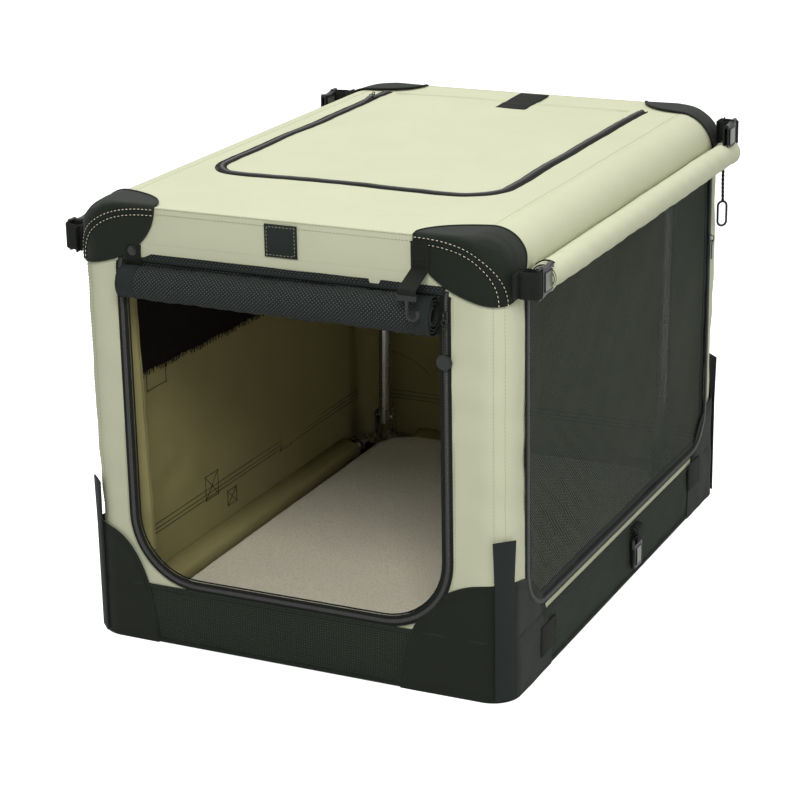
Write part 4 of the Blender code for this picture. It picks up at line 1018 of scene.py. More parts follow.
def make_band():
    """The dark band round the foot of the cover, with its binding and bottom piping."""
    piece = Piece()
    s = np.linspace(0, AROUND, 460)
    z = np.linspace(0.0, BAND, 14)
    u, v = np.meshgrid(s, z, indexing="ij")
    bulge = 0.0012 * np.sin(math.pi * v / BAND) + 0.0005 * ripple(u, v, 2, 0.06)
    bulge[-1] = bulge[0]
    outer, _ = on_shell(u, v, 0.0004 + bulge)
    inner, _ = on_shell(u, v, -0.0022)
    uv = np.stack([u, v], -1)
    piece.grid(outer, uv, 0)
    piece.grid(inner, uv, 3, flip=True)
    points, normals = on_shell(s, s * 0 + BAND - 0.001, 0.0012)
    piece.sweep(points[:-1], normals[:-1], strip_profile(0.006, 0.0010), 0, closed=True)
    piece.stitches(points + normals * 0.0010, normals, 2, FINE_THREAD)
    points, normals = on_shell(s, s * 0 + 0.003, 0.0008)
    piece.sweep(points[:-1], normals[:-1], circle(0.0028, 8), 1, closed=True)
    made = piece.build("Lower band", "band", "patch", "black", "lining")
    finished(made, "dark_cloth", "base_and_walls", "lower_band")


def make_patches():
    """The domed corner patches, each with its rim, two rows of stitches and upright sleeve."""
    dome = 2.3  # the power of the patches' outline: 2 would be an ellipse
    tall = size("patch_height")
    centres = {
        (-1, 1): SPAN_X + TURN / 2,
        (1, 1): 2 * SIDE_MID - SPAN_X - TURN / 2,
        (-1, -1): -SPAN_X - TURN / 2,
        (1, -1): SPAN_X + TURN / 2 - 2 * SIDE_MID,
    }
    for corner, centre in centres.items():
        piece = Piece()
        before, after = PATCH_REACH[corner]
        u = np.linspace(-1, 1, 61)
        v = np.linspace(0, 1, 26)
        gu, gv = np.meshgrid(u, v, indexing="ij")
        z = tall * np.sqrt(np.clip(1 - np.abs(gu) ** dome, 0, 1)) * gv
        s = centre + gu * np.where(gu < 0, before, after)
        skin = 0.0022 + 0.0005 * ripple(s, z, 6 + corner[0] + 3 * corner[1], 0.05)
        low = np.clip(BAND - z, 0, 0.02) * 0.05
        points, _ = on_shell(s, z, skin + low)
        piece.grid(points, np.stack([s, z], -1), 0)
        edge_u = np.sin(np.linspace(-math.pi / 2, math.pi / 2, 70))
        edge_z = tall * np.sqrt(np.clip(1 - np.abs(edge_u) ** dome, 0, 1))
        reach = np.where(edge_u < 0, before, after)
        path, normal = on_shell(centre + edge_u * reach, edge_z, 0.0018)
        piece.sweep(path, normal, circle(0.0014, 6, 0.8), 0)
        for inset in (0.006, 0.0105):
            share = 1 - inset / 0.15
            along = centre + edge_u * reach * share
            path, normal = on_shell(along, edge_z * share + 0.001, 0.0026)
            piece.stitches(path, normal, 1)
        path, normal = shell_line([(centre, 0.004), (centre, 0.215)], 0.0040)
        flare = 1.0 + 0.22 * np.clip((path[:, 2] - 0.150) / 0.065, 0, 1)
        piece.sweep(path, normal, strip_profile(0.025, 0.0022), 2, scale=flare)
        for side in (-0.0100, 0.0100):
            row = [(centre + side, 0.006), (centre + side * 1.2, 0.212)]
            path, normal = shell_line(row, 0.0062)
            piece.stitches(path, normal, 1)
        place = PLACES[corner]
        made = piece.build(f"Corner patch {place}", "patch", "black", "binding")
        finished(made, "dark_cloth", "base_and_walls", f"corner_patch_{place}")


def shoulder_radius(y):
    """The round shoulders' radius, which grows towards the front and rear ends."""
    near = np.clip(1 - (HALF_L - np.abs(y)) / END_REACH, 0, 1)
    return SHOULDER_R + (END_R - SHOULDER_R) * near**2


def crown(x, y):
    """Height of the cover's top over a place in plan."""
    radius = shoulder_radius(y)
    past = np.clip(np.abs(x) - HALF_W + radius, 0, radius)
    return HIGH - radius + np.sqrt(np.maximum(radius**2 - past**2, 0))


# Mat


def make_mat():
    """The padded fleece mat, with a rolled rim."""
    half_x, half_y = size("mat_width") / 2, size("mat_length") / 2
    low, high = MAT_LOW, MAT_LOW + size("mat_thick")
    piece = Piece()
    shares = np.r_[np.linspace(0, 0.9, 60), np.linspace(0.91, 1, 16)]
    turn = np.linspace(0, 1, 361)
    ring = outline(half_x, half_y, MAT_RADIUS, turn)
    points = ring[None] * shares[:, None, None]
    edge = np.clip((1 - shares) * 12, 0, 1)
    swell = ((high - low) / 2 * np.sqrt(np.clip(1 - (1 - edge) ** 2, 0, 1)))[:, None]
    mid = (high + low) / 2
    dip = 0.0035 * ripple(points[..., 0], points[..., 1], 9, 0.16) * edge[:, None]
    tuft = 0.0008 * ripple(points[..., 0], points[..., 1], 10, 0.008, 12)
    upper = mid + swell + dip * 0.5 + tuft - 0.0015
    lower = np.broadcast_to(mid - swell, upper.shape)
    top = np.concatenate([points, upper[..., None]], -1)
    bottom = np.concatenate([points, lower[..., None]], -1)
    piece.grid(top, points, 0)
    piece.grid(bottom, points, 0, flip=True)
    rim = np.concatenate([ring, np.full((len(ring), 1), mid)], 1)
    normal = np.concatenate([unit(ring), np.zeros((len(ring), 1))], 1)
    piece.sweep(rim[:-1], normal[:-1], circle(0.0024, 8), 0, closed=True)
    made = piece.build("Fleece mat", "fleece")
    finished(made, "fleece", "base_and_walls", "mat")


def outline(half_x, half_y, radius, turn):
    """A rounded rectangle as points, turn running from 0 to 1 round it."""
    loop = np.vstack(
        [
            arc2(half_x - radius, -half_y + radius, radius, -90, 0, 20),
            arc2(half_x - radius, half_y - radius, radius, 0, 90, 20),
            arc2(-half_x + radius, half_y - radius, radius, 90, 180, 20),
            arc2(-half_x + radius, -half_y + radius, radius, 180, 270, 20),
        ]
    )
    loop = np.vstack([loop, loop[:1]])
    run = np.r_[0, np.cumsum(np.linalg.norm(np.diff(loop, axis=0), axis=1))]
    return np.stack([np.interp(turn * run[-1], run, loop[:, k]) for k in (0, 1)], 1)


# Lid


def lid_sag(x, y):
    """The lid's uneven height over its frame, with soft creases across its front and rear."""
    inset = np.minimum(HALF_W - SHOULDER_R + 0.012 - np.abs(x), HALF_L - np.abs(y))
    slack = np.clip(inset / 0.05, 0, 1)
    crease = np.exp(-(((np.abs(y) - 0.31) / 0.05) ** 2)) * ripple(x * 0.4, y * 2.4, 17, 0.06)
    uneven = 0.0014 * ripple(x, y, 14, 0.22) - 0.0016 + 0.0003 * ripple(x, y, 15, 0.05)
    return slack * (uneven + 0.0007 * crease)


def on_top(path, out=0.0, step=0.004):
    """A line on the lid through (x, y) points, with its outward normals."""
    line = resample(path, step)
    x, y = line[:, 0], line[:, 1]
    z = crown(x, y) + lid_sag(x, y)
    slope = (crown(x + 0.0005, y) - crown(x - 0.0005, y)) / 0.001
    normals = unit(np.stack([-slope, 0 * x, 1 + 0 * x], 1))
    return np.stack([x, y, z], 1) + normals * out, normals


def make_lid():
    """The lid with its round shoulders, its upright rim, its seams and the hatch's zip."""
    piece = Piece()
    bend = np.radians(np.linspace(0, 90, 13))
    flat = HALF_W - SHOULDER_R
    right = flat + SHOULDER_R * np.sin(bend[1:])
    x = np.r_[-right[::-1], np.linspace(-flat, flat, int(2 * flat / CELL) + 1), right]
    turn = np.radians(np.linspace(0, 90, 13))
    end = SPAN_Y + CORNER_R * np.sin(turn[1:])
    y = np.r_[-end[::-1], np.linspace(-SPAN_Y, SPAN_Y, int(2 * SPAN_Y / CELL) + 1), end]
    x, y, keep = cut_grid(x, y, [widen(HATCH, 0.004)])
    past = np.clip(np.abs(y) - SPAN_Y, 0, CORNER_R)
    x = x * (SPAN_X + np.sqrt(CORNER_R**2 - past**2)) / HALF_W
    z = crown(x, y) + lid_sag(x, y)
    uv = np.stack([x, y], -1)
    piece.grid(np.stack([x, y, z], -1), uv, 0, keep)
    piece.grid(np.stack([x * 0.994, y, z - TWO_PLY], -1), uv, 1, keep, flip=True)
    s, share = np.meshgrid(np.linspace(0, AROUND, 700), np.linspace(0, 1, 8), indexing="ij")
    plan, _ = perimeter(s)
    z = LID_LOW + share * (crown(plan[..., 0], plan[..., 1]) - LID_LOW)
    belly = 0.0006 * ripple(s, z, 18, 0.12) * np.sin(math.pi * share)
    belly[-1] = belly[0]
    uv = np.stack([s, z], -1)
    outer, _ = on_shell(s, z, belly)
    inner, _ = on_shell(s, z, belly - TWO_PLY)
    piece.grid(outer, uv, 0)
    piece.grid(inner, uv, 1, flip=True)
    for middle in (0, REAR_MID):  # the seams along the front and rear edges
        left, right = middle - 0.215, middle + 0.215
        for drop in (0.0012, 0.0085):
            path, normals = shell_line([(left, HIGH - drop), (right, HIGH - drop)], 0.0003)
            piece.stitches(path, normals, 2, 0.00035)
        path, normals = shell_line([(left, HIGH - 0.0005), (right, HIGH - 0.0005)], -0.0006)
        piece.sweep(path, normals, circle(0.0013, 6), 0)
    for side in (-1, 1):  # the seams along the shoulders
        path, normals = on_top([(side * 0.252, -0.345), (side * 0.252, 0.345)], -0.0001)
        piece.sweep(path, normals, circle(0.0009, 6, 0.6), 0)
        path, normals = on_top([(side * 0.247, -0.345), (side * 0.247, 0.345)])
        piece.stitches(path, normals, 2, FINE_THREAD)
    made = piece.build("Lid", "canvas", "lining", "seam")
    finished(made, "canvas", "top", "top_panel")
    zipper = Piece()
    path, up = on_top(u_shape(HATCH), 0.0, ZIP_STEP)
    zipper.coil_zip(path, up, 0.013)
    edge, up = on_top(u_shape(HATCH, 0.008), 0.0, ZIP_STEP)
    zipper.sweep(edge, up, circle(0.0013, 6), 0)
    finished(zipper.build("Hatch zip", "tape", "coil"), "webbing", "top", "top_zip")


def make_hatch():
    """The hatch in the lid, and the webbing tab over its rear seam."""
    left, front, right, rear, radius = HATCH
    piece = Piece()
    x = np.linspace(left - 0.003, right + 0.003, 70)
    y = np.linspace(front - 0.003, rear, 94)
    x, y = np.meshgrid(x, y, indexing="ij")
    box = (left, front, right, rear + 0.2, radius)
    depth, gx, gy = hole_depth(x, y, box)
    keep = (depth[:-1, :-1] + depth[1:, :-1] + depth[:-1, 1:] + depth[1:, 1:]) / 4 < 0
    near = depth > -SNAP
    x, y = np.where(near, x - gx * depth, x), np.where(near, y - gy * depth, y)
    puff = np.clip(-hole_depth(x, y, box)[0] / 0.04, 0, 1) * 0.0015
    z = HIGH + lid_sag(x, y) + puff
    uv = np.stack([x, y], -1)
    piece.grid(np.stack([x, y, z], -1), uv, 0, keep)
    piece.grid(np.stack([x, y, z - 0.0014], -1), uv, 1, keep, flip=True)
    for inset in (0.006, 0.013):
        path, up = on_top([(left + 0.02, rear - inset), (right - 0.02, rear - inset)], 0.0014)
        piece.stitches(path, up, 2, FINE_THREAD)
    made = piece.build("Hatch", "canvas", "lining", "seam")
    finished(made, "canvas", "hatch", "top_hatch")
    tab = Piece()
    middle = 0.004
    path, up = on_top([(middle, 0.300), (middle, 0.398)], 0.0012)
    tab.sweep(path, up, strip_profile(0.046, 0.0016), 0)
    for side in (-0.020, 0.020):
        row, up = on_top([(middle + side, 0.303), (middle + side, 0.395)], 0.0029)
        tab.stitches(row, up, 1)
    strap = tab.build("Rear tab", "webbing", "black")
    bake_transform(strap)


def rounded(a, b, radius):
    """Signed distance to a corner of two edges, rounded by a radius."""
    return np.hypot(np.maximum(a, 0), np.maximum(b, 0)) + np.minimum(np.maximum(a, b), 0) - radius


def cover_depth(p):
    """Signed distance to the whole cover, with its round upright corners and shoulders."""
    qx, qy = np.abs(p[..., 0]) - SPAN_X, np.abs(p[..., 1]) - SPAN_Y
    plan = rounded(qx, qy, CORNER_R)
    radius = shoulder_radius(p[..., 1])
    top = rounded(np.abs(p[..., 0]) - HALF_W + radius, p[..., 2] - HIGH + radius, radius)
    soft = 0.003  # the edge where the lid meets the ends is rounded by this
    return rounded(plan + soft, top + soft, soft)


def cap_points(end, side, shares, reach, out, spokes=97):
    """Places on the cover round one top corner, by share of the cap's reach and turn round it.

    Each is found by halving: first how far out from the corner, then how deep the cover lies.
    """
    corner = np.array([side * HALF_W, end * HALF_L, HIGH])
    axis = unit(np.array([side, end, 1.0]))
    first = unit(np.cross(axis, (0, 0, 1.0)))
    second = np.cross(axis, first)
    turn = np.linspace(0, math.tau, spokes)
    spoke = np.cos(turn)[:, None] * first + np.sin(turn)[:, None] * second
    shares = np.asarray(shares, float)[:, None]
    near, far = np.zeros((len(shares), spokes)), np.full((len(shares), spokes), 0.3)
    for _ in range(30):
        rho = (near + far) / 2
        low, high = np.full(rho.shape, -0.4), np.full(rho.shape, 0.1)
        for _ in range(26):
            h = (low + high) / 2
            p = corner + spoke[None] * rho[..., None] + axis * h[..., None]
            outside = cover_depth(p) > out
            high, low = np.where(outside, h, high), np.where(outside, low, h)
        value = np.linalg.norm((p - corner) / reach, axis=-1)
        too_far = value > shares
        far, near = np.where(too_far, rho, far), np.where(too_far, near, rho)
    return p


def cap_seam(end, side, by=0.0):
    """The front panel's edge over a cap: along the top, round the shoulder and down the corner."""
    t = np.linspace(0, 1, 60)[:, None]
    # The four control points of one curve, as distance from the middle and height
    a, b, c, d = np.array([(0.180, 0.5842), (0.248, 0.5842), (0.2838, 0.562), (0.2846, 0.5125)])
    line = (1 - t) ** 3 * a + 3 * t * (1 - t) ** 2 * b
    line = line + 3 * t**2 * (1 - t) * c + t**3 * d
    ahead = tangents(line)
    line = line + by * np.stack([-ahead[:, 1], ahead[:, 0]], 1)
    past = np.clip(line[:, 0] - SPAN_X, 0, CORNER_R * 0.999)
    depth = np.sqrt(CORNER_R**2 - past**2)
    points = np.stack([side * line[:, 0], end * (SPAN_Y + depth), line[:, 1]], 1)
    normals = np.stack([side * past, end * depth, 0 * past], 1) / CORNER_R
    return points + normals * 0.0030, normals


def make_caps():
    """The dark caps over the top corners, each with its bound seam and rows of cream stitches."""
    for end, side in CORNERS:
        reach, skin = np.array([0.118, 0.066, 0.079]), 0.0026
        piece = Piece()
        centre = cap_points(end, side, [0.0], reach, skin)
        corner = np.array([side * HALF_W, end * HALF_L, HIGH])
        least = np.linalg.norm((centre[0, 0] - corner) / reach)
        shares = np.linspace(least + 0.02, 1, 24)
        grid = np.vstack([centre, cap_points(end, side, shares, reach, skin)])
        # A small bump keeps the cap's pole clear of the lid
        away = unit(np.array([side, end, 1.0])) * 0.0022
        grid += np.r_[1.0, np.clip((least + 0.20 - shares) / 0.16, 0, 1)][:, None, None] * away
        uv = np.stack([grid[..., 0] + grid[..., 1], grid[..., 2]], -1)
        piece.grid(grid, uv, 0, flip=True)
        middle = np.array([side * (HALF_W - 0.06), end * (HALF_L - 0.06), HIGH - 0.06])
        rim = grid[-1]
        piece.sweep(rim, unit(rim - middle), circle(0.0014, 6), 0)
        seam, normals = cap_seam(end, side)
        piece.sweep(seam, normals, strip_profile(0.0100, 0.0012), 2)
        for by in (-0.0037, 0.0037):
            row, normals = cap_seam(end, side, by)
            row = row + normals * 0.0010
            piece.stitches(row, normals, 1, 0.00045, pitch=0.0058, long=0.0031)
        place = PLACES[end, side]
        made = piece.build(f"Top cap {place}", "patch", "cream", "tape")
        finished(made, "dark_cloth", "top", f"top_cap_{place}")


# Rolled doors


def spiral(radius, layer, turns, start_deg, count):
    """A spiral's section, from its core out to its free edge, as angle and radius.

    Each turn lies one layer outside the last, so cloth and air together are layer metres thick.
    """
    share = np.linspace(0, 1, count)
    angle = math.radians(start_deg) + share * turns * math.tau
    return angle, radius - layer * turns * (1 - share)


def make_front_roll():
    """The mesh door rolled up under the lid, its edges bound, over a soft core."""
    full = size("front_roll")
    left, right = -0.221, 0.205
    piece = Piece()
    x = resample([(left, 0), (right, 0)], 0.004)[:, 0]
    angle, radius = spiral(full, layer=0.0039, turns=3.9, start_deg=92, count=160)
    gx, ga = np.meshgrid(x, angle, indexing="ij")
    gr = np.broadcast_to(radius, gx.shape)
    share = (gx - left) / (right - left)
    swell = 0.90 + 0.14 * share
    uneven = 0.0011 * ripple(gx, ga * 0.02, 41, 0.09) + 0.0005 * np.sin(gx * 260 + ga * 1.5)
    r = (gr + uneven * (gr / full)) * swell
    y = ROLL_Y + r * np.cos(ga) * 0.96
    z = ROLL_Z + r * np.sin(ga)
    points = np.stack([gx, y, z], -1)
    run = np.r_[0, np.cumsum(np.abs(np.diff(angle)) * radius[1:])]
    uv = np.stack(np.meshgrid(x, run, indexing="ij"), -1)
    # Binding along both ends and the free edge
    bound = np.zeros((len(x) - 1, len(angle) - 1), bool)
    bound[:6] = bound[-5:] = True
    bound[:, -3:] = True
    piece.grid(points, uv, 0, ~bound)
    piece.grid(points, uv, 1, bound)
    for k, way in ((0, -1), (-1, 1)):
        piece.sweep(points[k], facing(points[k], (way, 0, 0)), circle(0.0011, 6), 1)
    free = points[:, -1]
    normals = np.stack([0 * x, free[:, 1] - ROLL_Y, free[:, 2] - ROLL_Z], 1)
    piece.stitches(free, unit(normals), 2, lift=0.0008)
    for k in (6, -7):  # stitches beside the end bindings
        ring = points[k, -46:]
        normals = np.stack([0 * ring[:, 0], ring[:, 1] - ROLL_Y, ring[:, 2] - ROLL_Z], 1)
        piece.stitches(ring, unit(normals), 2, lift=0.0008)
    made = piece.build("Rolled front door", "roll", "binding", "black")
    finished(made, "mesh_cloth", "top", "front_door_roll")
    # The core wears the near-black window mesh: the roll's inner layers, with painted shade.
    core = Piece()
    path = resample([(left + 0.004, ROLL_Y, ROLL_Z), (right - 0.006, ROLL_Y, ROLL_Z)], 0.02)
    core.sweep(path, facing(path, (0, 0, 1)), circle(0.0125, 16), 0)
    finished(core.build("Rolled front door core", "pane"), "mesh_cloth", "top")


def make_side_roll():
    """The canvas cover rolled up above the mesh door, with its flap, end spiral and ties."""
    full, tied_at = size("side_roll"), (-0.334, 0.352)
    front, rear = -0.344, 0.372
    piece = Piece()
    y = resample([(front, 0), (rear, 0)], 0.005)[:, 0]
    angle, radius = spiral(full, layer=0.0022, turns=5.35, start_deg=118, count=180)
    gy, ga = np.meshgrid(y, angle, indexing="ij")
    share = (gy - front) / (rear - front)
    uneven = 0.0010 * ripple(gy, ga * 0.02, 51, 0.14) + 0.0003 * np.sin(gy * 150 + ga * 2)
    pinch = sum(np.exp(-(((gy - at) / 0.008) ** 2)) for at in tied_at) * 0.0015
    outward = radius[None] / full
    r = radius[None] + uneven * outward - pinch * outward
    x = SIDE_ROLL_X + r * np.cos(ga)
    z = SIDE_ROLL_Z + r * np.sin(ga) * (0.97 + 0.03 * share)
    points = np.stack([x, gy, z], -1)
    run = np.r_[0, np.cumsum(np.abs(np.diff(angle)) * radius[1:])]
    uv = np.stack(np.meshgrid(y, run, indexing="ij"), -1)
    piece.grid(points, uv, 0, flip=True)
    for k, way in ((0, -1), (-1, 1)):
        piece.sweep(points[k], facing(points[k], (0, way, 0)), circle(0.0009, 6), 0)
    # The flap of the cover that joins the roll to the lid's edge
    columns, rows = np.linspace(-0.328, 0.335, 100), np.linspace(0, 1, 14)
    flap_y, flap_v = np.meshgrid(columns, rows, indexing="ij")
    flap_x = HALF_W + 0.0006 + (SIDE_ROLL_X - HALF_W - 0.003) * flap_v
    sag = 0.0030 * np.sin(math.pi * flap_v) - 0.0008 * ripple(flap_y, flap_v * 0.03, 52, 0.08)
    flap_z = LID_LOW - 0.0010 + 0.0080 * np.sin(flap_v * math.pi / 2) - sag * 0.4
    piece.grid(np.stack([flap_x, flap_y, flap_z], -1), np.stack([flap_y, flap_x], -1), 0)
    made = piece.build("Rolled side cover", "canvas")
    finished(made, "canvas", "top", "side_cover_roll")
    core = Piece()
    ends = [(SIDE_ROLL_X, at, SIDE_ROLL_Z) for at in (front + 0.004, rear - 0.004)]
    path = resample(ends, 0.02)
    core.sweep(path, facing(path, (0, 0, 1)), circle(0.0066, 14), 0)
    finished(core.build("Rolled side cover core", "canvas"), "canvas", "top")
    ties, out = Piece(), full + 0.0006
    turn = np.linspace(0.34 * math.pi, 1.15 * math.pi, 44)
    normals = np.stack([np.cos(turn), 0 * turn, np.sin(turn)], 1)
    for at in tied_at:
        path = np.array([SIDE_ROLL_X, at, SIDE_ROLL_Z]) + normals * out
        ties.sweep(path, normals, strip_profile(0.005, 0.0012), 0)
    finished(ties.build("Side cover ties", "webbing"), "webbing", "top")


def make_side_hook():
    """The oval wire hook on a braided cord under the side roll's rear end."""
    x, y = 0.3100, 0.3660
    piece = Piece()
    cord = resample([(x, y, 0.514), (x, y, 0.490), (x + 0.0006, y, 0.462)], 0.002)
    plait = 1 + 0.16 * np.sin(np.arange(len(cord)) * 2.1)
    piece.sweep(cord, facing(cord, (1, 0, 0)), circle(0.0021, 8), 0, scale=plait)
    width, high, low = 0.0068, 0.4555, 0.4330
    ring = np.vstack([arc2(0, high, width, 0, 180, 14), arc2(0, low, width, 180, 360, 14)])
    points = np.stack([x + ring[:, 0] * 0.75, y + ring[:, 0] * 0.66, ring[:, 1]], 1)
    piece.sweep(points, facing(points, (0.66, -0.75, 0)), circle(0.0018, 8), 1, closed=True)
    made = piece.build("Side hook", "webbing", "plastic")
    finished(made, "black_plastic", "side_hook", "side_hook")


# Webbing, buckles and hooks


def strap_along(piece, path, normals, width):
    """Webbing along a path, with a row of stitches near each edge."""
    both = resample(np.hstack([path, normals * NORMAL_SHARE]), 0.002)
    spots, up = both[:, :3], unit(both[:, 3:])
    piece.sweep(spots, up, strip_profile(width, WEBBING_THICK), 0)
    side = np.cross(tangents(spots), up)
    for way in (-1, 1):
        row = spots + side * way * (width / 2 - 0.0032) + up * WEBBING_THICK
        piece.stitches(row, up, 1, FINE_THREAD)


def loop_path(root, tip, width, root_width=None, steps=14):
    """A flat loop seen on edge, between two plan points, which may be wider at its root."""
    root, tip = np.asarray(root, float), np.asarray(tip, float)
    ahead = unit(tip - root)
    side = np.array([-ahead[1], ahead[0]])
    turn = np.linspace(-math.pi / 2, math.pi / 2, steps)
    r, root_r = width / 2, (root_width or width) / 2
    out_end = tip + r * (np.cos(turn)[:, None] * ahead + np.sin(turn)[:, None] * side)
    in_end = root - root_r * (np.cos(turn)[:, None] * ahead + np.sin(turn)[:, None] * side)
    return np.vstack([out_end, in_end, out_end[:1]])


def buckle_mesh(piece, bar, ahead, across):
    """Half of a side-release buckle: a ladder bar, a slot, a tapered socket and its flat faces,
    whose grey is a painted reflection.
    """
    bar, ahead, across = (np.asarray(v, float) for v in (bar, ahead, across))
    out = np.cross(ahead, across)

    def place(u, v, w):
        """Points so far along the buckle, across it and out of its face."""
        u, v, w = np.broadcast_arrays(np.asarray(u, float), v, w)
        return bar + u[..., None] * ahead + v[..., None] * across + w[..., None] * out

    rod = place(0.0, np.linspace(-0.0155, 0.0155, 6), 0.0)
    piece.sweep(rod, facing(rod, out), circle(0.0026, 10, 1.2), 0)
    for way in (-1, 1):
        rail = place(np.linspace(-0.001, 0.012, 6), way * 0.0150, 0.0)
        piece.sweep(rail, facing(rail, out), circle(0.0022, 8, 1.4), 0)
    u = np.linspace(0.0075, 0.0420, 24)
    share = (u - u[0]) / (u[-1] - u[0])
    half = 0.0162 - 0.0022 * np.sin(math.pi * share) - 0.0012 * share
    thick = 0.0034 + 0.0007 * np.sin(math.pi * np.clip(share * 1.3, 0, 1))
    turn = np.arange(33) * math.tau / 32
    c, s = np.cos(turn), np.sin(turn)
    boxy = 0.35  # the socket's section: 1 would be an ellipse, and 0 a sharp rectangle
    v = np.sign(c) * np.abs(c) ** boxy
    w = np.sign(s) * np.abs(s) ** boxy
    shell = place(u[:, None], half[:, None] * v[None], thick[:, None] * w[None])
    piece.grid(shell, None, 0, flip=True)
    piece.fan(shell[0, :-1], 0, True)
    mouth = place(u[-1], half[-1] * 0.74 * v, thick[-1] * 0.5 * w)
    piece.grid(np.stack([shell[-1], mouth]), None, 0, flip=True)
    deep = place(u[-1] - 0.012, half[-1] * 0.74 * v, thick[-1] * 0.5 * w)
    piece.grid(np.stack([mouth, deep]), None, 0, flip=True)
    piece.fan(deep[:-1], 0)
    # The flat plates on both faces, in the grey that is a painted reflection of the sky.
    u = np.linspace(0.0125, 0.0375, 10)
    face = 0.0042 + 0.0004 * np.sin(math.pi * np.linspace(0, 1, 10))
    for way in (-1, 1):
        plate = place(u[:, None], np.linspace(-0.0096, 0.0096, 9)[None], way * face[:, None])
        piece.grid(plate, None, 1, flip=way > 0)
        rim = np.vstack([plate[0], plate[1:, -1], plate[-1, -2::-1], plate[-2:0:-1, 0]])
        piece.sweep(rim, facing(rim, way * out), circle(0.0007, 6), 0, closed=True)


def make_corner_straps():
    """The four webbing loops at the top corners, each with half of a buckle."""
    width = size("corner_webbing")
    for end, side in CORNERS:
        place, piece = PLACES[end, side], Piece()
        y, z = end * 0.380, (0.535 if end < 0 else 0.5625)  # the front loops hang lower
        loop = loop_path((side * 0.3071, y), (side * 0.3187, y), 0.0128, 0.0190)
        path = np.column_stack([loop, np.full(len(loop), z)])
        middle = np.array([side * 0.3121, y, z])
        normals = path - middle
        normals[:, 0] = np.where(np.abs(normals[:, 0]) < 0.0095, 0, normals[:, 0])
        strap_along(piece, path, unit(normals), width)
        base = [(side * 0.2975, y - 0.013, z), (side * 0.2975, y + 0.013, z)]
        path = resample(base, 0.003)
        piece.sweep(path, facing(path, (side, 0, 0)), strip_profile(width, WEBBING_THICK), 0)
        tail = [(side * 0.3020, y - end * 0.004, z), (side * 0.2985, y + end * 0.022, z)]
        path = resample(tail, 0.003)
        strap_along(piece, path, facing(path, (side, 0, 0)), width - 0.0005)
        made = piece.build(f"Corner loop {place}", "webbing", "black")
        finished(made, "webbing", "top", f"corner_strap_{place}")
        half = Piece()
        # The socket is 1.22 times as wide as the low one, to suit the wider webbing
        buckle_mesh(half, (side * 0.3211, y, z), (0, -end, 0), (0, 0, 1.22))
        held = half.build(f"Corner buckle {place}", "plastic", "satin")
        finished(held, "black_plastic", f"buckle_{place}", f"corner_buckle_{place}")


def make_low_buckle():
    """The low loop and its half of a buckle, and the two tabs sewn to the band."""
    piece = Piece()
    loop = loop_path((0.3013, 0.0715), (0.3013, 0.0580), 0.0105)
    path = np.column_stack([loop[:, 0], np.full(len(loop), 0.040), loop[:, 1]])
    normals = path - np.array([0.3013, 0.040, 0.065])
    strap_along(piece, path, unit(normals), size("webbing"))
    made = piece.build("Low side loop", "webbing", "black")
    finished(made, "webbing", "base_and_walls", "low_buckle_strap")
    half = Piece()
    buckle_mesh(half, (0.3013, 0.040, 0.0580), (0, 0, -1), (0, 1, 0))
    held = half.build("Low side buckle", "plastic", "satin")
    finished(held, "black_plastic", "low_buckle", "low_side_buckle")
    tabs = Piece()
    for at, low in ((-0.285, 0.024), (0.296, 0.044)):
        path, normal = shell_line([(SIDE_MID + at, low), (SIDE_MID + at, low + 0.040)], 0.0030)
        tabs.sweep(path, normal, strip_profile(0.050, 0.0018), 0)
        for way in (-0.022, 0.022):
            s = SIDE_MID + at + way
            path, normal = shell_line([(s, low + 0.002), (s, low + 0.038)], 0.0049)
            tabs.stitches(path, normal, 1)
    sewn = tabs.build("Hook-and-loop tabs", "webbing", "black")
    finished(sewn, "webbing", "base_and_walls")


def make_keepers():
    """The rolled front door's studded keeper and hooked keeper, and the bare patch."""
    piece, x = Piece(), KEEPER_X
    side_on = [(-0.4136, 0.583), (-0.4136, 0.549), (-0.452, 0.534), (-0.4525, 0.528)]
    path = resample([(x, y, z) for y, z in side_on], 0.002)
    normals = np.cross(tangents(path), facing(path, (-1, 0, 0)))
    normals[normals[:, 1] > 0] *= -1
    strap_along(piece, path, normals, size("keeper"))
    for z in (0.556, 0.562, 0.578):
        row = resample([(x - 0.009, -0.4150, z), (x + 0.009, -0.4150, z)], 0.002)
        piece.stitches(row, facing(row, (0, -1, 0)), 1)
    made = piece.build("Right keeper", "webbing", "black")
    finished(made, "webbing", "top", "keeper_strap")
    left, x = Piece(), -0.2095
    path = resample([(x, -0.4112, 0.541), (x, -0.4128, 0.522), (x, -0.4095, 0.512)], 0.002)
    strap_along(left, path, facing(path, (0, -1, 0)), 0.023)
    finished(left.build("Left keeper", "webbing", "black"), "webbing", "top")
    stud, heights = Piece(), (0.0, 0.0014, 0.0024, 0.0028)
    for radius, low, high in zip((0.0062, 0.0045, 0.0020), heights, heights[1:]):
        path = np.array([(x, -0.4128 - low, 0.533), (x, -0.4128 - high, 0.533)])
        stud.sweep(path, facing(path, (0, 0, 1)), circle(radius, 20), 0)
    finished(stud.build("Press stud", "slider"), "zinc_steel", "top")
    label = Piece()
    path, normal = shell_line([(-0.022, 0.5645), (0.022, 0.5645)], 0.0010)
    label.sweep(path, normal, strip_profile(0.041, 0.0016), 0)
    edge = [(-0.019, 0.547), (0.019, 0.547), (0.019, 0.582), (-0.019, 0.582), (-0.019, 0.547)]
    path, normal = shell_line(edge, 0.0027)
    label.stitches(path, normal, 1, FINE_THREAD)
    finished(label.build("Bare patch", "binding", "seam"), "webbing", "top")


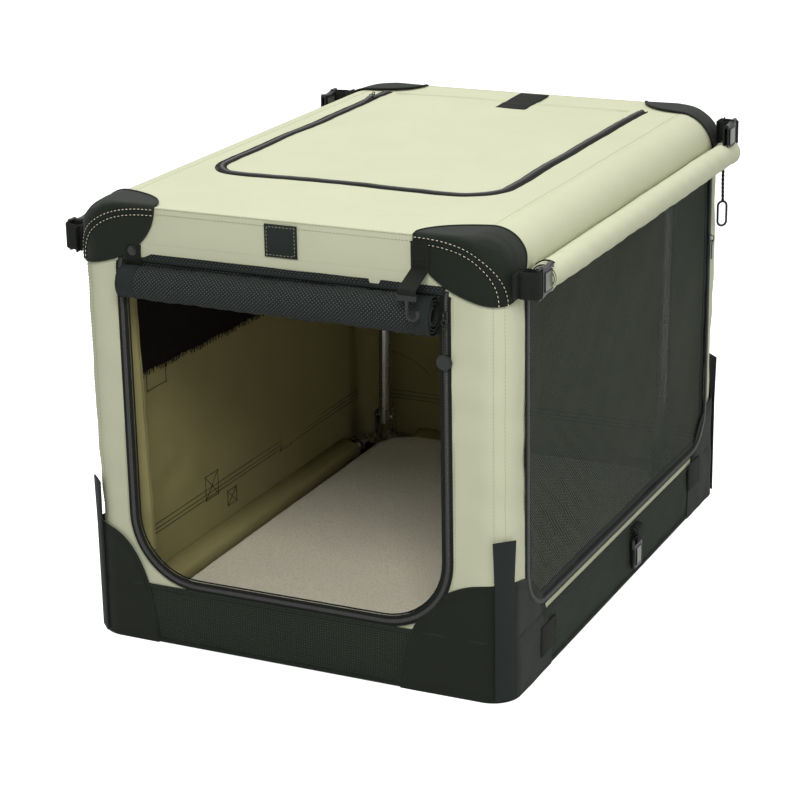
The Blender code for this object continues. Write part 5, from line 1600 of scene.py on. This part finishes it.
def make_pulls():
    """The front slider's ring, doubled cord and plain disc."""
    x, y = 0.217, -0.4164
    ring = Piece()
    turn = np.linspace(0, math.tau, 33)
    loop = np.stack([x + 0.0036 * np.cos(turn), np.full(33, y), 0.4880 + 0.0036 * np.sin(turn)], 1)
    ring.sweep(loop, unit(loop - loop.mean(0)), circle(0.0007, 6), 0)
    for way in (-0.0011, 0.0011):
        cord = [(x + way, y, 0.4845), (x + way * 1.4, y, 0.467), (x + way, y, 0.4475)]
        cord = resample(cord, 0.002)
        ring.sweep(cord, facing(cord, (0, -1, 0)), circle(0.0011, 8), 1)
    knot = [0.0022 * np.cos(turn), 0.0016 * np.sin(turn), 0.0012 * np.sin(2 * turn)]
    knot = np.array([x, y, 0.4805]) + np.stack(knot, 1)
    ring.sweep(knot, unit(knot - knot.mean(0)), circle(0.0012, 8), 1)
    for radius, low, high in ((0.0098, -0.0015, 0.0015), (0.0085, 0.0015, 0.0021)):
        path = np.array([(x, y - low, 0.4385), (x, y - high, 0.4385)])
        ring.sweep(path, facing(path, (0, 0, 1)), circle(radius, 32), 2)
    made = ring.build("Front zip pull", "slider", "black", "plastic")
    finished(made, "black_plastic", "front_pull", "front_zip_pull")


# Stage


def make_stage():
    """The camera, a white floor and sky, and soft studio lights."""
    data = bpy.data.cameras.new("Camera")
    data.lens = CAMERA_LENS
    data.sensor_width = 36  # mm
    camera = bpy.data.objects.new("Camera", data)
    bpy.context.scene.collection.objects.link(camera)
    yaw, pitch, roll = (math.radians(a) for a in (CAMERA_YAW, CAMERA_PITCH, CAMERA_ROLL))
    ahead = Vector(
        (-math.sin(yaw) * math.cos(pitch), math.cos(yaw) * math.cos(pitch), -math.sin(pitch))
    )
    right = ahead.cross(Vector((0, 0, 1))).normalized()
    up = right.cross(ahead)
    turned_right = right * math.cos(roll) + up * math.sin(roll)
    turned_up = up * math.cos(roll) - right * math.sin(roll)
    camera.matrix_world = Matrix.Translation(CAMERA_AT) @ Matrix(
        (turned_right, turned_up, -ahead)
    ).transposed().to_4x4()
    bpy.context.scene.camera = camera
    bpy.context.scene.view_settings.view_transform = "Standard"
    make_sky()
    make_floor()
    for name, place, target, wide, watts in (
        ("Top softbox", (-0.5, 0.5, 2.6), (0, 0, 0.3), 1.8, 46),
        ("Right softbox", (2.6, -0.2, 1.2), (0, 0, 0.3), 1.6, 17),
        ("Front softbox", (0.8, -2.0, 2.0), (0, -0.2, 0.1), 0.9, 38),
    ):
        data = bpy.data.lights.new(name, "AREA")
        data.size, data.energy = wide, watts
        lamp = bpy.data.objects.new(name, data)
        bpy.context.scene.collection.objects.link(lamp)
        lamp.location = place
        aim = Vector(target) - Vector(place)
        lamp.rotation_euler = aim.to_track_quat("-Z", "Y").to_euler()


def seen_share(tree):
    """One for rays from the camera, mirrors and glass, and zero for rays that light the object."""
    rays = add(tree, "ShaderNodeLightPath", {}).outputs
    total = rays["Is Camera Ray"]
    for ray in ("Is Glossy Ray", "Is Transmission Ray"):
        total = add(tree, "ShaderNodeMath", {0: total, 1: rays[ray]}, operation="MAXIMUM")
        total = total.outputs[0]
    return total


def make_sky():
    """A sky that is white to look at and lights the crate softly."""
    world = bpy.data.worlds.new("Studio")
    world.use_nodes = True
    tree = world.node_tree
    tree.nodes.clear()
    seen = add(tree, "ShaderNodeBackground", {"Color": (1, 1, 1, 1)})
    soft = add(tree, "ShaderNodeBackground", {"Color": (0.95, 0.97, 1, 1), "Strength": 0.48})
    both = {0: seen_share(tree), 1: soft.outputs[0], 2: seen.outputs[0]}
    both = add(tree, "ShaderNodeMixShader", both)
    add(tree, "ShaderNodeOutputWorld", {"Surface": both.outputs[0]})
    bpy.context.scene.world = world


def make_floor():
    """A floor that sends light up at the crate, and glows enough to look as white as the sky."""

    def shade(tree):
        glow = {0: seen_share(tree), 1: 0.86}
        glow = add(tree, "ShaderNodeMath", glow, operation="MULTIPLY")
        return {
            "Base Color": (0.62, 0.62, 0.62, 1),
            "Roughness": 0.9,
            "Emission Color": (1, 1, 1, 1),
            "Emission Strength": glow.outputs[0],
        }

    shape = bmesh.new()
    bmesh.ops.create_grid(shape, x_segments=1, y_segments=1, size=14)
    mesh = bpy.data.meshes.new("Studio_floor")
    shape.to_mesh(mesh)
    shape.free()
    mesh.materials.append(surface("White studio floor", shade))
    floor = bpy.data.objects.new("Studio_floor", mesh)
    floor.location.z = -0.0008
    bpy.context.scene.collection.objects.link(floor)


# The add-on


class CRATE_OT_frame(bpy.types.Operator):
    """The finishes, and the pieces of the CAD frame that stay as they are."""

    bl_idname = "crate.frame"
    bl_label = "Frame, rivets, clips and sliders"

    def execute(self, context):
        mix_finishes()
        finish_frame(FRAME)
        return {"FINISHED"}


class CRATE_OT_stage(bpy.types.Operator):
    """The camera, the floor, the sky and the lights."""

    bl_idname = "crate.stage"
    bl_label = "Camera, floor and lights"

    def execute(self, context):
        make_stage()
        return {"FINISHED"}


class CRATE_OT_walls(bpy.types.Operator):
    """The four canvas walls and their lining."""

    bl_idname = "crate.walls"
    bl_label = "Canvas walls"

    def execute(self, context):
        make_walls()
        return {"FINISHED"}


class CRATE_OT_inside(bpy.types.Operator):
    """What shows inside: stitches and the base tube's sleeves."""

    bl_idname = "crate.inside"
    bl_label = "Lining stitches and tube sleeves"

    def execute(self, context):
        make_inside()
        return {"FINISHED"}


class CRATE_OT_leg_sleeves(bpy.types.Operator):
    """The sleeves of lining on the front hoop's legs."""

    bl_idname = "crate.leg_sleeves"
    bl_label = "Sleeves on the front hoop's legs"

    def execute(self, context):
        make_leg_sleeves()
        return {"FINISHED"}


class CRATE_OT_window(bpy.types.Operator):
    """The left window's mesh, and the zipped cover outside it."""

    bl_idname = "crate.window"
    bl_label = "Left window and its cover"

    def execute(self, context):
        make_window()
        return {"FINISHED"}


class CRATE_OT_side_door(bpy.types.Operator):
    """The mesh door in the right wall, and its zip."""

    bl_idname = "crate.side_door"
    bl_label = "Mesh side door and zip"

    def execute(self, context):
        make_side_door()
        return {"FINISHED"}


class CRATE_OT_front_zip(bpy.types.Operator):
    """The doorway's zip, and the mesh above the roll."""

    bl_idname = "crate.front_zip"
    bl_label = "Front door zip"

    def execute(self, context):
        make_front_zip()
        return {"FINISHED"}


class CRATE_OT_band(bpy.types.Operator):
    """The dark band round the foot."""

    bl_idname = "crate.band"
    bl_label = "Lower band"

    def execute(self, context):
        make_band()
        return {"FINISHED"}


class CRATE_OT_patches(bpy.types.Operator):
    """The four domed corner patches."""

    bl_idname = "crate.patches"
    bl_label = "Corner patches and sleeves"

    def execute(self, context):
        make_patches()
        return {"FINISHED"}


class CRATE_OT_mat(bpy.types.Operator):
    """The padded fleece mat."""

    bl_idname = "crate.mat"
    bl_label = "Fleece mat"

    def execute(self, context):
        make_mat()
        return {"FINISHED"}


class CRATE_OT_lid(bpy.types.Operator):
    """The lid, its seams and the hatch's zip."""

    bl_idname = "crate.lid"
    bl_label = "Lid and hatch zip"

    def execute(self, context):
        make_lid()
        return {"FINISHED"}


class CRATE_OT_hatch(bpy.types.Operator):
    """The hatch in the lid, and the tab at its rear."""

    bl_idname = "crate.hatch"
    bl_label = "Hatch and rear tab"

    def execute(self, context):
        make_hatch()
        return {"FINISHED"}


class CRATE_OT_caps(bpy.types.Operator):
    """The four caps on the lid's corners."""

    bl_idname = "crate.caps"
    bl_label = "Top corner caps"

    def execute(self, context):
        make_caps()
        return {"FINISHED"}


class CRATE_OT_keepers(bpy.types.Operator):
    """The front roll's keepers, the press stud and the bare patch."""

    bl_idname = "crate.keepers"
    bl_label = "Keepers, stud and patch"

    def execute(self, context):
        make_keepers()
        return {"FINISHED"}


class CRATE_OT_front_roll(bpy.types.Operator):
    """The mesh door, rolled up."""

    bl_idname = "crate.front_roll"
    bl_label = "Rolled front door"

    def execute(self, context):
        make_front_roll()
        return {"FINISHED"}


class CRATE_OT_side_roll(bpy.types.Operator):
    """The side cover, rolled up and tied."""

    bl_idname = "crate.side_roll"
    bl_label = "Rolled side cover"

    def execute(self, context):
        make_side_roll()
        return {"FINISHED"}


class CRATE_OT_side_hook(bpy.types.Operator):
    """The oval hook under the side roll."""

    bl_idname = "crate.side_hook"
    bl_label = "Side hook on its cord"

    def execute(self, context):
        make_side_hook()
        return {"FINISHED"}


class CRATE_OT_straps(bpy.types.Operator):
    """The four corner loops and their buckle halves."""

    bl_idname = "crate.straps"
    bl_label = "Corner loops and buckles"

    def execute(self, context):
        make_corner_straps()
        return {"FINISHED"}


class CRATE_OT_low_buckle(bpy.types.Operator):
    """The low loop with its buckle half, and the band's tabs."""

    bl_idname = "crate.low_buckle"
    bl_label = "Low side buckle and tabs"

    def execute(self, context):
        make_low_buckle()
        return {"FINISHED"}


class CRATE_OT_pulls(bpy.types.Operator):
    """The front slider's ring, cord and disc."""

    bl_idname = "crate.pulls"
    bl_label = "Front zip pull"

    def execute(self, context):
        make_pulls()
        return {"FINISHED"}


OPERATORS = (
    CRATE_OT_frame,
    CRATE_OT_stage,
    CRATE_OT_walls,
    CRATE_OT_inside,
    CRATE_OT_leg_sleeves,
    CRATE_OT_window,
    CRATE_OT_side_door,
    CRATE_OT_front_zip,
    CRATE_OT_band,
    CRATE_OT_patches,
    CRATE_OT_mat,
    CRATE_OT_lid,
    CRATE_OT_hatch,
    CRATE_OT_caps,
    CRATE_OT_keepers,
    CRATE_OT_front_roll,
    CRATE_OT_side_roll,
    CRATE_OT_side_hook,
    CRATE_OT_straps,
    CRATE_OT_low_buckle,
    CRATE_OT_pulls,
)


class CRATE_PT_panel(bpy.types.Panel):
    """The sizes, the colours and the operators, in the order in which they run."""

    bl_label = "Soft folding dog crate"
    bl_idname = "CRATE_PT_panel"
    bl_space_type = "VIEW_3D"
    bl_region_type = "UI"
    bl_category = "Crate"

    def draw(self, context):
        for title, group in (
            ("Sizes", context.scene.crate_sizes),
            ("Colours", context.scene.crate_colours),
        ):
            box = self.layout.box()
            box.label(text=title)
            for name in type(group).__annotations__:
                box.prop(group, name)
        for each in OPERATORS:
            self.layout.operator(each.bl_idname)


CLASSES = (CRATE_PG_sizes, CRATE_PG_colours, *OPERATORS, CRATE_PT_panel)


def register():
    for each in CLASSES:
        bpy.utils.register_class(each)
    bpy.types.Scene.crate_sizes = PointerProperty(type=CRATE_PG_sizes)
    bpy.types.Scene.crate_colours = PointerProperty(type=CRATE_PG_colours)


def unregister():
    del bpy.types.Scene.crate_colours
    del bpy.types.Scene.crate_sizes
    for each in reversed(CLASSES):
        bpy.utils.unregister_class(each)


def main():
    """Builds the crate and the stage."""
    register()
    for each in OPERATORS:
        getattr(bpy.ops.crate, each.bl_idname.split(".")[1])()


if __name__ == "__main__":
    main()
